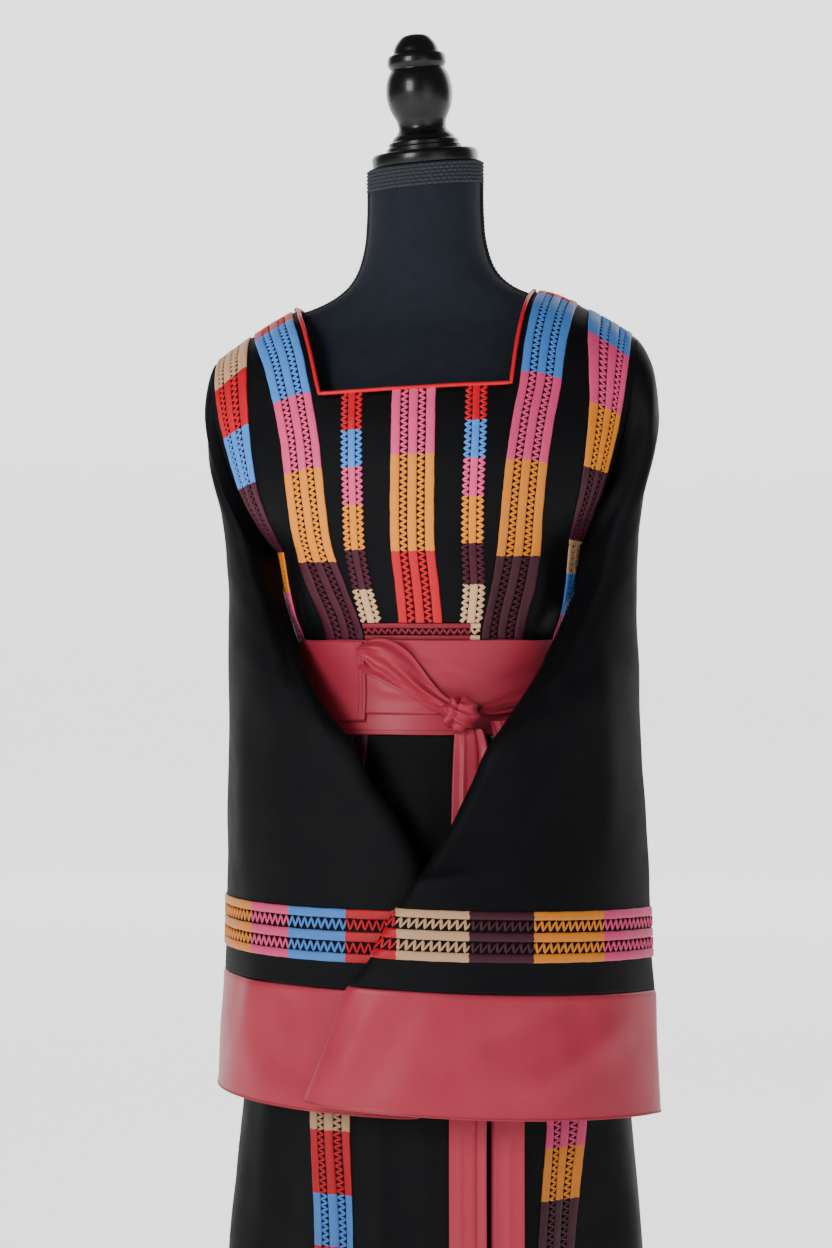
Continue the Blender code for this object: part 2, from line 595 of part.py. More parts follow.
def in_front_neckline(levels):
    """Whether a cell of the front panel lies below the square neckline."""
    middle = len(front_columns(0.0)) // 2
    half = 3  # columns between the centre front and the neckline's edge
    rows = sum(1 for level in levels if level < NECK_LEVEL)

    def keep(row, column):
        return row >= rows or not middle - half <= column < middle + half

    return keep


def in_back_neckline(levels):
    middle = len(back_columns(0.0)) // 2
    half = 2
    rows = sum(1 for level in levels if level < BACK_NECK_LEVEL)

    def keep(row, column):
        return row >= rows or not middle - half <= column < middle + half

    return keep


def body_trim(name, levels, columns_at, first, last, side):
    """A stripe sewn on a panel, from one of the panel's columns to another."""
    table = [columns_at(level)[first : last + 1] for level in levels]

    def place(out):
        def point(i, j):
            spot = body_point(levels[i], table[i][j], out, side)
            if levels[i] == 0.0:
                spot.y = -side * SEAM_GAP
            return spot

        return point

    return cloth_wall(
        name,
        "stripe_thread",
        len(levels),
        last - first + 1,
        place(TRIM_LIFT + TRIM_WALL),
        place(TRIM_LIFT),
    )


def ring_shares(end):
    """Shares of a section's width at its points, from the outer fold to the inner one."""
    near = [step * end / 2 for step in RING_STEPS]
    half = near + [(near[-1] + 0.5) / 2, 0.5]
    flat = half + [1.0 - s for s in reversed(half[:-1])]
    blend = smooth_step(end, FLAT_END, SLEEVE_RIGHT[0].end)
    return [f + (a - f) * blend for f, a in zip(flat, ARMHOLE_SHARES)]


def sleeve_surface(rows, hand, level, around):
    """A point on a sleeve. around counts the points of a section: out over the front, back under it."""
    row = read_rows(rows, level)
    shares = ring_shares(row.end)
    count = len(shares) - 1
    around = around % (2 * count)
    layer = 1 if around <= count else -1
    place = around if layer > 0 else 2 * count - around
    low = min(int(place), count - 1)
    share = shares[low] + (shares[low + 1] - shares[low]) * (place - low)
    point = sleeve_section(row, share, layer)
    point.x = hand * (point.x + ARMHOLE_GAP)
    return settle(point)


def sleeve_point(rows, hand, level, around, out=0.0):
    point = sleeve_surface(rows, hand, level, around)
    if out == 0.0:
        return point
    level = min(max(level, 0.06), len(rows) - 1.06)
    normal = surface_normal(
        lambda u, v: sleeve_surface(rows, hand, u, v), level, around, 0.05, 0.35
    )
    return point - out * hand * normal


def sleeve_wall(name, colour, rows, hand, levels, lift, thick):
    """A tube of cloth round a stretch of a sleeve."""
    around = 2 * (len(ring_shares(1.0)) - 1)

    def place(i, j):
        return sleeve_point(rows, hand, levels[i], j % around, lift)

    inward = hand * thick
    return cloth_wall(name, colour, len(levels), around + 1, place, inward, closed=True)


def make_sleeve(side_name, rows, hand):
    levels = [float(n) for n in range(int(SLEEVE_STRIPE_LEVELS[0]) + 1)]
    levels += [*SLEEVE_STRIPE_LEVELS, CUFF_LEVEL - 0.006]
    sleeve_wall(f"sleeve_{side_name}", "black_crepe", rows, hand, levels, 0.0, WALL)
    cuff = [CUFF_LEVEL + 0.006, CUFF_LEVEL + 1.0, SLEEVE_FOOT_LEVEL]
    sleeve_wall(f"cuff_{side_name}", "rose_satin", rows, hand, cuff, 0.0, SATIN_WALL)
    sleeve_wall(
        f"trim_sleeve_{side_name}",
        "stripe_thread",
        rows,
        hand,
        list(SLEEVE_STRIPE_LEVELS),
        TRIM_LIFT + TRIM_WALL,
        TRIM_WALL,
    )


def make_body():
    levels = body_levels(0.0, HEM_LEVEL)
    body_wall("front", levels, front_columns, 1, in_front_neckline(levels))
    body_wall("back", levels, back_columns, -1, in_back_neckline(levels))


def make_body_trims():
    to_belt = body_levels(NECK_LEVEL, WAIST_STRIPE_LEVEL - 0.04)
    to_belt[0] += 0.05
    body_trim("trim_centre", to_belt, front_columns, *FRONT_COLUMN["centre"], 1)
    last = len(front_columns(0.0)) - 1
    for hand, side_name in ((-1, "left"), (1, "right")):
        for kind, width, levels in (
            ("narrow", 1, to_belt),
            ("mid", 2, body_levels(0.0, HEM_LEVEL - 0.02)),
            ("outer", 2, body_levels(0.0, BELT_WAIST_LEVEL)),
        ):
            # columns are counted from the centre front outward, then mirrored
            first = len(front_columns(0.0)) // 2 + FRONT_COLUMN[kind]
            ends = (first, first + width) if hand > 0 else (last - first - width, last - first)
            body_trim(f"trim_{kind}_{side_name}", levels, front_columns, *ends, 1)
    back_last = len(back_columns(0.0)) - 1
    for hand, side_name in ((-1, "left"), (1, "right")):
        for kind, first, levels in (
            ("mid", 5, body_levels(0.0, HEM_LEVEL - 0.02)),
            ("outer", 1, body_levels(0.0, BELT_WAIST_LEVEL)),
        ):
            ends = (first, first + 2) if hand > 0 else (back_last - first - 2, back_last - first)
            body_trim(f"trim_back_{kind}_{side_name}", levels, back_columns, *ends, -1)


def ring_wall(name, colour, levels, angles_at, lift, thick, closed=False):
    """A band of cloth round the body between levels and angles."""
    table = [angles_at(level) for level in levels]

    def place(out):
        return lambda i, j: body_point(levels[i], table[i][j], out)

    return cloth_wall(
        name, colour, len(levels), len(table[0]), place(lift), place(lift - thick), closed=closed
    )


def all_round(level):
    """Angles of both panels' columns at a level, from the centre back round to it."""
    back = back_columns(level)
    past_centre = len(back) // 2 + 1
    return back[past_centre:-1] + front_columns(level) + back[1 : past_centre + 1]


def make_piping():
    """Round red piping on the edge of the neckline, front and back."""
    for name, side, foot, columns_at, half in (
        ("piping_front", 1, NECK_LEVEL, front_columns, 3),
        ("piping_back", -1, BACK_NECK_LEVEL, back_columns, 2),
    ):
        middle = len(columns_at(0.0)) // 2
        down = [float(n) for n in range(int(foot) + 1)]
        places = [(level, middle - half) for level in down]
        places += [(foot, column) for column in range(middle - half + 1, middle + half)]
        places += [(level, middle + half) for level in reversed(down)]
        route = []
        for level, column in places:
            lift = PIPING_RADIUS + SEAM_GAP
            route.append(body_point(level, columns_at(level)[column], lift, side))
        for end in (0, -1):
            route[end].y = -side * 2 * PIPING_RADIUS
        make_tube(name, "red_piping", route, PIPING_RADIUS)


def make_tube(name, colour, route, radius, resolution=2):
    curve = bpy.data.curves.new(name, "CURVE")
    curve.dimensions = "3D"
    curve.bevel_depth = radius
    curve.bevel_resolution = resolution
    curve.use_fill_caps = True
    spline = curve.splines.new("POLY")
    spline.points.add(len(route) - 1)
    for spot, at in zip(spline.points, route):
        spot.co = (*at, 1.0)
    holder = bpy.data.objects.new(name + "_curve", curve)
    bpy.context.scene.collection.objects.link(holder)
    finished = holder.evaluated_get(bpy.context.evaluated_depsgraph_get())
    mesh = bpy.data.meshes.new_from_object(finished)
    bpy.data.objects.remove(holder)
    bm = bmesh.new()
    bm.from_mesh(mesh)
    bmesh.ops.remove_doubles(bm, verts=bm.verts[:], dist=1e-6)
    face_out(bm)
    bm.to_mesh(mesh)
    bm.free()
    return new_object(name, mesh, colour)


def stack_of_rings(name, colour, rings):
    """A closed solid from rings of points, capped at both ends."""
    bm = bmesh.new()
    loops = []
    for ring in rings:
        verts = [bm.verts.new(p) for p in ring]
        loops.append([bm.edges.new((a, b)) for a, b in zip(verts, verts[1:] + verts[:1])])
    for low, high in zip(loops, loops[1:]):
        bmesh.ops.bridge_loops(bm, edges=low + high)
    bmesh.ops.holes_fill(bm, edges=bm.edges[:], sides=0)
    bmesh.ops.triangulate(bm, faces=bm.faces[:])
    face_out(bm)
    mesh = bpy.data.meshes.new(name)
    bm.to_mesh(mesh)
    bm.free()
    return new_object(name, mesh, colour)


def form_ring(row, lift=0.0):
    """A ring of the dress form, a distance out. The rings near the neck's top lie along the tilted cap."""
    cap_slope = smooth_step(row.height, 1.50, 1.58)
    ring = []
    for n in range(FORM_SIDES):
        turn = 2 * math.pi * n / FORM_SIDES
        across, ahead = math.sin(turn), -math.cos(turn)
        power = 2.0 / row.squareness
        depth = lift + (row.front if ahead < 0 else row.back)
        x = (row.half + lift) * math.copysign(abs(across) ** power, across)
        y = depth * math.copysign(abs(ahead) ** power, ahead)
        point = settle(Vector((x, y, row.height)))
        point.z = point.z * (1 - cap_slope) + cap_slope * (
            row.height + math.tan(CAP_TILT_ACROSS) * x + math.tan(CAP_TILT_FORWARD) * y
        )
        ring.append(point)
    return ring


def make_form():
    stack_of_rings("form_torso", "form_jersey", [form_ring(row) for row in FORM])


def cap_matrix():
    """From the cap's own axes to the figure's."""
    across = Matrix.Rotation(-CAP_TILT_ACROSS, 4, "Y")
    forward = Matrix.Rotation(CAP_TILT_FORWARD, 4, "X")
    return Matrix.Translation(CAP_CENTRE) @ across @ forward


def turned_piece(name, colour, profile, sides, matrix):
    """A turned solid: its profile of heights and radii spun round its axis."""
    bm = bmesh.new()
    verts = [bm.verts.new((row.radius, 0.0, row.height)) for row in profile]
    edges = [bm.edges.new(pair) for pair in zip(verts, verts[1:])]
    bmesh.ops.spin(
        bm,
        geom=verts + edges,
        cent=(0, 0, 0),
        axis=(0, 0, 1),
        angle=math.tau,
        steps=sides,
        use_merge=True,
    )
    bmesh.ops.remove_doubles(bm, verts=bm.verts[:], dist=1e-6)
    bmesh.ops.holes_fill(bm, edges=bm.edges[:], sides=0)
    face_out(bm)
    bmesh.ops.transform(bm, matrix=matrix, verts=bm.verts[:])
    mesh = bpy.data.meshes.new(name)
    bm.to_mesh(mesh)
    bm.free()
    return new_object(name, mesh, colour)


def make_cap_and_finial():
    place = cap_matrix()
    edge = 0.001
    cap = (
        TurnedRow(0.0, 0.0),
        TurnedRow(0.0, CAP_RADIUS - edge),
        TurnedRow(edge, CAP_RADIUS),
        TurnedRow(CAP_THICK - edge, CAP_RADIUS),
        TurnedRow(CAP_THICK, CAP_RADIUS - edge),
        TurnedRow(CAP_THICK, 0.0),
    )
    turned_piece("neck_cap", "black_wood", cap, 40, place)
    top = Matrix.Translation((0.0, 0.0, CAP_THICK))
    profile = (TurnedRow(FINIAL[0].height, 0.0),) + FINIAL
    turned_piece("finial", "black_wood", profile, 24, place @ top)


def make_neck_band():
    """The ribbed band that ends the form's jersey cover under the cap."""
    neck = FORM[-1]
    heights = [neck.height - BAND_HEIGHT * n / 2 for n in (0, 1, 2)]
    rings = {}
    for lift in (BAND_GAP, BAND_GAP + BAND_WALL):
        rings[lift] = [form_ring(neck._replace(height=h), lift) for h in heights]
    cloth_wall(
        "form_neck_band",
        "form_jersey",
        len(heights),
        FORM_SIDES + 1,
        lambda i, j: rings[BAND_GAP + BAND_WALL][i][j % FORM_SIDES],
        lambda i, j: rings[BAND_GAP][i][j % FORM_SIDES],
        closed=True,
    )


def make_stand():
    base = (
        TurnedRow(0.0, 0.0),
        TurnedRow(0.0, BASE_RADIUS),
        TurnedRow(BASE_THICK - BASE_BEVEL, BASE_RADIUS),
        TurnedRow(BASE_THICK, BASE_RADIUS - 2 * BASE_BEVEL),
        TurnedRow(BASE_THICK, COLLAR_RADIUS),
        TurnedRow(BASE_THICK + COLLAR_HEIGHT, COLLAR_RADIUS * 0.8),
        TurnedRow(BASE_THICK + COLLAR_HEIGHT, 0.0),
    )
    turned_piece("stand_base", "black_metal", base, 48, Matrix.Identity(4))
    foot, top = BASE_THICK + COLLAR_HEIGHT + SEAM_GAP, FORM[0].height - SEAM_GAP
    pole = (
        TurnedRow(foot, 0.0),
        TurnedRow(foot, POLE_RADIUS),
        TurnedRow(top, POLE_RADIUS),
        TurnedRow(top, 0.0),
    )
    lowered = Matrix.Translation((SWAY_LOW, 0.0, 0.0))
    turned_piece("stand_pole", "black_metal", pole, 20, lowered)


def make_belt():
    levels = [BELT_TOP_LEVEL, BELT_WAIST_LEVEL, BELT_FOOT_LEVEL]
    lift = BELT_LIFT + SATIN_WALL
    ring_wall("belt_band", "rose_satin", levels, all_round, lift, SATIN_WALL, closed=True)
    start, end = FLAP_ANGLES
    steps = 8
    angles = [start + (end - start) * n / steps for n in range(steps + 1)]
    levels = [BELT_TOP_LEVEL + 0.05, BELT_WAIST_LEVEL, 11.75]
    lift = FLAP_LIFT + SATIN_WALL
    ring_wall("belt_flap", "rose_satin", levels, lambda level: angles, lift, SATIN_WALL)


def make_knot():
    """The knot where the belt's ties meet: a rounded lump of wound satin."""
    bm = bmesh.new()
    bmesh.ops.create_uvsphere(bm, u_segments=16, v_segments=10, radius=1.0)
    bmesh.ops.scale(bm, vec=KNOT_SIZE, verts=bm.verts[:])
    bmesh.ops.rotate(bm, cent=(0, 0, 0), matrix=Matrix.Rotation(0.5, 3, "Y"), verts=bm.verts[:])
    bmesh.ops.translate(bm, vec=KNOT_CENTRE, verts=bm.verts[:])
    mesh = bpy.data.meshes.new("belt_knot")
    bm.to_mesh(mesh)
    bm.free()
    new_object("belt_knot", mesh, "rose_satin")


def body_level(height):
    """The level at which the centre line of the body has a height."""
    heights = [row.height for row in BODY]
    low = next(n for n in range(len(BODY) - 1) if heights[n + 1] <= height)
    return low + (heights[low] - height) / (heights[low] - heights[low + 1])


def flat_point(level, angle, out):
    """A point a distance out from the body's solid, which is straight between its rows of points."""
    rows = body_levels(0.0, HEM_LEVEL)
    low = max(row for row in rows[:-1] if row <= level)
    high = rows[rows.index(low) + 1]
    return body_point(low, angle, out).lerp(body_point(high, angle, out), (level - low) / (high - low))


def front_reach(height, left, right, out):
    """How far forward a surface a distance out from the body reaches between two places across."""
    level = body_level(height)
    places = [left + (right - left) * n / 8 for n in range(9)]
    return min(flat_point(level, stripe_angle(level, x - SWAY_LOW), out).y for x in places)


def make_tails():
    """The two ends of the belt's tie, hanging plumb down the front of the skirt."""
    belt_foot = BODY[int(BELT_FOOT_LEVEL)].height
    for name, rows in (("belt_tail_front", TAIL_FRONT), ("belt_tail_back", TAIL_BACK)):
        reaches = []
        for row in rows:
            under = BELT_LIFT + SATIN_WALL if row.height > belt_foot - 0.004 else TRIM_LIFT + TRIM_WALL
            reach = front_reach(row.height, row.left, row.right, under + TAIL_GAP)
            reaches.append(min(reaches[-1:] + [reach]))

        def place(i, j, rows=rows, reaches=reaches):
            across = rows[i].left + (rows[i].right - rows[i].left) * j / 2
            return Vector((across, reaches[i] - SATIN_WALL, rows[i].height))

        def lining(i, j, place=place):
            return place(i, j) + Vector((0.0, SATIN_WALL, 0.0))

        cloth_wall(name, "rose_satin", len(rows), 3, place, lining)


def make_ties():
    """The ribbons that run across the belt to the knot."""
    for name, rows in (("belt_tie_left", TIE_LEFT), ("belt_tie_right", TIE_RIGHT)):

        def place(i, j, out=TIE_LIFT + SATIN_WALL, rows=rows):
            height = rows[i].height + (j - 1) * rows[i].half
            return flat_point(body_level(height), rows[i].angle, out)

        def lining(i, j, place=place):
            return place(i, j, TIE_LIFT)

        cloth_wall(name, "rose_satin", len(rows), 3, place, lining)


def make_waist_trim():
    """The stripe sewn across the foot of the bodice, half tucked into the belt."""
    angles = [WAIST_STRIPE_HALF_ANGLE * (n - 6) / 6 for n in range(13)]
    levels = [WAIST_STRIPE_LEVEL, BELT_TOP_LEVEL, BELT_TOP_LEVEL + 0.1]
    lift = TRIM_LIFT + TRIM_WALL
    ring_wall("trim_waist", "stripe_thread", levels, lambda level: angles, lift, TRIM_WALL)


def main():
    for piece in list(bpy.data.objects):
        bpy.data.objects.remove(piece, do_unlink=True)
    make_form()
    make_neck_band()
    make_cap_and_finial()
    make_stand()
    make_body()
    make_body_trims()
    make_waist_trim()
    make_piping()
    make_belt()
    make_ties()
    make_knot()
    make_tails()
    make_sleeve("left", SLEEVE_LEFT, -1)
    make_sleeve("right", SLEEVE_RIGHT, 1)


main()
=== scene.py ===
"""The looks of a Palestinian thobe dress on a limbless dress form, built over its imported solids.

Metres, +Z up, the dress faces -Y. Left and right are the viewer's: left is -X.
Angles round the body are in degrees: 0 is the centre front, 90 the side seam at +X, 180 the centre back.
"""

import json
import math
from collections import namedtuple

import bmesh
import bpy
import numpy as np
from mathutils import Matrix, Vector

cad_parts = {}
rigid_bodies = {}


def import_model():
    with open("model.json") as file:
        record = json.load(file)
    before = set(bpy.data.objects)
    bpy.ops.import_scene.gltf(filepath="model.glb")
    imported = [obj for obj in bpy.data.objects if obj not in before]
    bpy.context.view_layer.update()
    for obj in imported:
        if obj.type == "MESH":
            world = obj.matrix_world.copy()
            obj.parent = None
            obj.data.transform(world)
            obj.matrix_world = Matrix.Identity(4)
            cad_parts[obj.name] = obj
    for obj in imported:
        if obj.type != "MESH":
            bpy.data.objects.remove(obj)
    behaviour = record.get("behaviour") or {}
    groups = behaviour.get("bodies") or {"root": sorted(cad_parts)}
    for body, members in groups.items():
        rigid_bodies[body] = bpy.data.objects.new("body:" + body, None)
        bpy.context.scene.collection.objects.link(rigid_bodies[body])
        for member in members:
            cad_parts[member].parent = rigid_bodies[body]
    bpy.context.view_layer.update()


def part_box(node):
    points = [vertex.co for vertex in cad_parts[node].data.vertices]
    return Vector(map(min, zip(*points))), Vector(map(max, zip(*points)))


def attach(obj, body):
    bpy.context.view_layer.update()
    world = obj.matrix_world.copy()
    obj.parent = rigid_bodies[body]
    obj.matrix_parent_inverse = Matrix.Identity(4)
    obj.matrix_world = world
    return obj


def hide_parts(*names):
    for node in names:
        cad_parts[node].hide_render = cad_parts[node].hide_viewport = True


bl_info = {
    "name": "Thobe dress on a form",
    "version": (1, 0, 0),
    "blender": (4, 5, 0),
    "location": "View3D > Sidebar > Thobe",
    "description": "Sews the cloth, stripes, lace and satin of a thobe dress and builds its dress form",
    "category": "Add Mesh",
}

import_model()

# The dress body: one row for each height, from the shoulder seam to the hem.
# hole is the share of the armhole passed and edge_x the half width.
# front and back are the depths on the centre line. fall is the power that shapes a row from centre to edge.
BodyRow = namedtuple(
    "BodyRow", "height hole edge_x front back fall mid_x shift narrow_x outer_in outer_out"
)
BODY = (
    BodyRow(1.452, 0.00, 0.2220, 0.000, 0.000, 1.0, 0.1475, 0.000, 0.0750, 53, 78),
    BodyRow(1.431, 0.12, 0.2220, 0.056, 0.072, 1.3, 0.1420, 0.000, 0.0720, 53, 77),
    BodyRow(1.396, 0.26, 0.2220, 0.091, 0.092, 1.3, 0.1340, 0.000, 0.0680, 54, 76),
    BodyRow(1.349, 0.41, 0.2220, 0.118, 0.104, 1.3, 0.1265, 0.000, 0.0635, 56, 76),
    BodyRow(1.310, 0.56, 0.2200, 0.134, 0.113, 1.2, 0.1190, 0.000, 0.0630, 58, 77),
    BodyRow(1.270, 0.71, 0.2000, 0.142, 0.117, 1.1, 0.1135, -0.001, 0.0620, 61, 79),
    BodyRow(1.235, 0.86, 0.1800, 0.141, 0.117, 1.0, 0.1100, -0.0025, 0.0610, 64, 81),
    BodyRow(1.190, 1.00, 0.1600, 0.137, 0.115, 1.0, 0.1050, -0.004, 0.0600, 68, 83),
    BodyRow(1.150, 1.00, 0.1560, 0.131, 0.112, 1.0, 0.0950, -0.0015, 0.0570, 67, 82),
    BodyRow(1.115, 1.00, 0.1500, 0.124, 0.109, 1.0, 0.0840, 0.000, 0.0510, 65, 80),
    BodyRow(1.095, 1.00, 0.1445, 0.116, 0.105, 1.0, 0.0800, 0.000, 0.0480, 63, 79),
    BodyRow(1.045, 1.00, 0.1400, 0.110, 0.102, 1.0, 0.0780, 0.001, 0.0460, 62, 78),
    BodyRow(0.997, 1.00, 0.1470, 0.116, 0.109, 1.0, 0.0820, 0.004, 0.0480, 61, 78),
    BodyRow(0.940, 1.00, 0.1650, 0.130, 0.126, 1.0, 0.0950, 0.010, 0.0520, 61, 78),
    BodyRow(0.860, 1.00, 0.1820, 0.141, 0.143, 1.0, 0.1080, 0.017, 0.0600, 61, 78),
    BodyRow(0.750, 1.00, 0.1940, 0.150, 0.155, 1.0, 0.1170, 0.022, 0.0640, 61, 78),
    BodyRow(0.620, 1.00, 0.2030, 0.158, 0.165, 1.0, 0.1200, 0.025, 0.0660, 61, 78),
    BodyRow(0.455, 1.00, 0.2170, 0.170, 0.178, 1.0, 0.1110, 0.0245, 0.0660, 61, 78),
    BodyRow(0.240, 1.00, 0.2270, 0.187, 0.192, 1.0, 0.1130, 0.022, 0.0660, 61, 78),
    BodyRow(0.030, 1.00, 0.2350, 0.203, 0.206, 1.0, 0.1200, 0.020, 0.0660, 61, 78),
)
SHOULDER_DRIFT = {-1: -0.014, 1: -0.008}
TILT, TILT_FROM, TILT_FULL = 0.050, 1.10, 1.34
SWAY_LOW, SWAY_HIGH, SWAY_FROM, SWAY_FULL = 0.005, -0.007, 0.90, 1.45
NECK_HALF_TOP, NECK_HALF_BOTTOM, NECK_HALF_BACK = 0.123, 0.0975, 0.112
NECK_LEVEL, BACK_NECK_LEVEL = 3.0, 1.0
BELT_TOP_LEVEL, BELT_FOOT_LEVEL = 10.0, 12.0
WAIST_STRIPE_LEVEL = 9.16
WAIST_STRIPE_HALF_ANGLE = 23.6
HEM_LEVEL = len(BODY) - 1.0
CENTRE_HALF, MID_HALF, NARROW_HALF, OUTER_HALF = 0.022, 0.020, 0.0115, 0.0190
SEAM_GAP = 0.0003

Fold = namedtuple("Fold", "angle width depth top full")
SKIRT_FOLDS = (
    Fold(-68, 11, 0.011, 0.74, 0.25),
    Fold(-44, 9, -0.010, 0.80, 0.30),
    Fold(-14, 13, 0.011, 0.88, 0.22),
    Fold(12, 10, -0.008, 0.70, 0.20),
    Fold(52, 10, -0.009, 0.84, 0.30),
    Fold(72, 10, 0.012, 0.78, 0.25),
    Fold(106, 11, -0.012, 0.84, 0.20),
    Fold(128, 10, 0.016, 0.92, 0.25),
    Fold(152, 10, -0.013, 0.86, 0.30),
    Fold(176, 12, 0.018, 0.97, 0.20),
    Fold(-158, 9, -0.012, 0.84, 0.25),
    Fold(-134, 11, 0.017, 0.92, 0.30),
    Fold(-108, 10, -0.011, 0.84, 0.25),
)
BODICE_FOLDS = (
    Fold(-50, 6, 0.006, 1.22, 1.13),
    Fold(50, 6, 0.006, 1.22, 1.13),
    Fold(-33, 5, -0.003, 1.20, 1.13),
    Fold(33, 5, -0.003, 1.20, 1.13),
    Fold(125, 8, 0.006, 1.24, 1.13),
    Fold(155, 7, -0.004, 1.22, 1.13),
    Fold(-125, 8, 0.006, 1.24, 1.13),
    Fold(-155, 7, -0.004, 1.22, 1.13),
)

# The sleeves: one row for each section of a flat tube, from the armhole to the foot of the cuff
SleeveRow = namedtuple(
    "SleeveRow",
    "rx_outer rx_inner ry angle_outer angle_inner z_outer z_inner half_thick end turn bow",
)
SLEEVE_RIGHT = (
    SleeveRow(0.2220, 0.1600, 0.100, 90, 90, 1.397, 1.190, 0.052, 0.62, 0.00, 0.016),
    SleeveRow(0.2360, 0.1614, 0.115, 90, 82.5, 1.366, 1.176, 0.050, 0.62, 0.05, 0.017),
    SleeveRow(0.2410, 0.1630, 0.120, 89, 72.5, 1.315, 1.155, 0.045, 0.62, 0.08, 0.010),
    SleeveRow(0.2210, 0.1653, 0.140, 88, 62.8, 1.252, 1.128, 0.034, 0.62, 0.20, 0.009),
    SleeveRow(0.2100, 0.1671, 0.152, 87, 52.7, 1.207, 1.095, 0.026, 0.56, 0.35, 0.009),
    SleeveRow(0.2070, 0.1696, 0.166, 86, 42.7, 1.167, 1.060, 0.020, 0.46, 0.55, 0.006),
    SleeveRow(0.2065, 0.1735, 0.176, 85, 32.8, 1.128, 1.027, 0.016, 0.38, 0.70, 0.004),
    SleeveRow(0.2055, 0.2008, 0.181, 84, 20.1, 1.072, 0.990, 0.013, 0.20, 1.00, 0.001),
    SleeveRow(0.2070, 0.2070, 0.185, 82, 14, 1.005, 0.950, 0.012, 0.13, 1.00, 0.000),
    SleeveRow(0.2130, 0.2130, 0.193, 80, 8, 0.930, 0.907, 0.011, 0.10, 1.00, 0.000),
    SleeveRow(0.2200, 0.2200, 0.206, 78, 0, 0.865, 0.860, 0.010, 0.09, 1.00, 0.000),
    SleeveRow(0.2230, 0.2230, 0.213, 77, -5.3, 0.818, 0.830, 0.010, 0.09, 1.00, 0.000),
    SleeveRow(0.2260, 0.2260, 0.217, 76, -11.7, 0.768, 0.782, 0.010, 0.09, 1.00, 0.000),
    SleeveRow(0.2290, 0.2290, 0.219, 76, -17, 0.736, 0.755, 0.010, 0.09, 1.00, 0.000),
    SleeveRow(0.2320, 0.2320, 0.222, 75, -22.5, 0.675, 0.697, 0.011, 0.10, 1.00, 0.000),
    SleeveRow(0.2350, 0.2350, 0.225, 75, -28.5, 0.612, 0.638, 0.012, 0.11, 1.00, 0.000),
)
SLEEVE_LEFT = (
    SleeveRow(0.2220, 0.1600, 0.100, 90, 90, 1.397, 1.190, 0.052, 0.62, 0.00, 0.016),
    SleeveRow(0.2265, 0.1614, 0.115, 90, 82.5, 1.367, 1.176, 0.048, 0.62, 0.04, 0.014),
    SleeveRow(0.2270, 0.1630, 0.120, 90.5, 72.5, 1.322, 1.155, 0.042, 0.62, 0.06, 0.007),
    SleeveRow(0.2120, 0.1653, 0.140, 91.5, 62.8, 1.260, 1.128, 0.031, 0.62, 0.15, 0.007),
    SleeveRow(0.2030, 0.1680, 0.150, 93, 52.2, 1.208, 1.095, 0.023, 0.56, 0.31, 0.007),
    SleeveRow(0.2010, 0.1778, 0.160, 96, 40.3, 1.165, 1.060, 0.017, 0.46, 0.52, 0.004),
    SleeveRow(0.2010, 0.1940, 0.167, 100, 29, 1.125, 1.027, 0.014, 0.38, 0.70, 0.002),
    SleeveRow(0.2030, 0.2059, 0.171, 104.5, 18.7, 1.072, 0.992, 0.011, 0.20, 1.00, 0.000),
    SleeveRow(0.2060, 0.2060, 0.173, 108, 13, 1.005, 0.956, 0.010, 0.13, 1.00, 0.000),
    SleeveRow(0.2080, 0.2080, 0.177, 111, 5, 0.930, 0.915, 0.010, 0.10, 1.00, 0.000),
    SleeveRow(0.2090, 0.2090, 0.181, 113, -1.5, 0.865, 0.866, 0.009, 0.09, 1.00, 0.000),
    SleeveRow(0.2095, 0.2095, 0.183, 114, -4, 0.826, 0.824, 0.009, 0.09, 1.00, 0.000),
    SleeveRow(0.2105, 0.2105, 0.186, 115, -4, 0.776, 0.772, 0.009, 0.09, 1.00, 0.000),
    SleeveRow(0.2110, 0.2110, 0.187, 116, -3, 0.752, 0.746, 0.009, 0.09, 1.00, 0.000),
    SleeveRow(0.2140, 0.2140, 0.189, 117, -2, 0.692, 0.684, 0.010, 0.10, 1.00, 0.000),
    SleeveRow(0.2170, 0.2170, 0.191, 118, -1, 0.634, 0.622, 0.010, 0.11, 1.00, 0.000),
)
CUFF_LEVEL = 13.0
SLEEVE_FOOT_LEVEL = len(SLEEVE_RIGHT) - 1.0
SLEEVE_STRIPE_LEVELS = (10.95, 11.95)
ARMHOLE_GAP = 0.0022
UNDERARM_TUCK = 0.0070
ARMHOLE_SHARES = (0.0, 0.03, 0.12, 0.26, 0.41, 0.56, 0.71, 0.86, 0.95, 0.99, 1.0)
FLAT_END = 0.20
RING_STEPS = (0.0, 0.10, 0.45, 1.0)

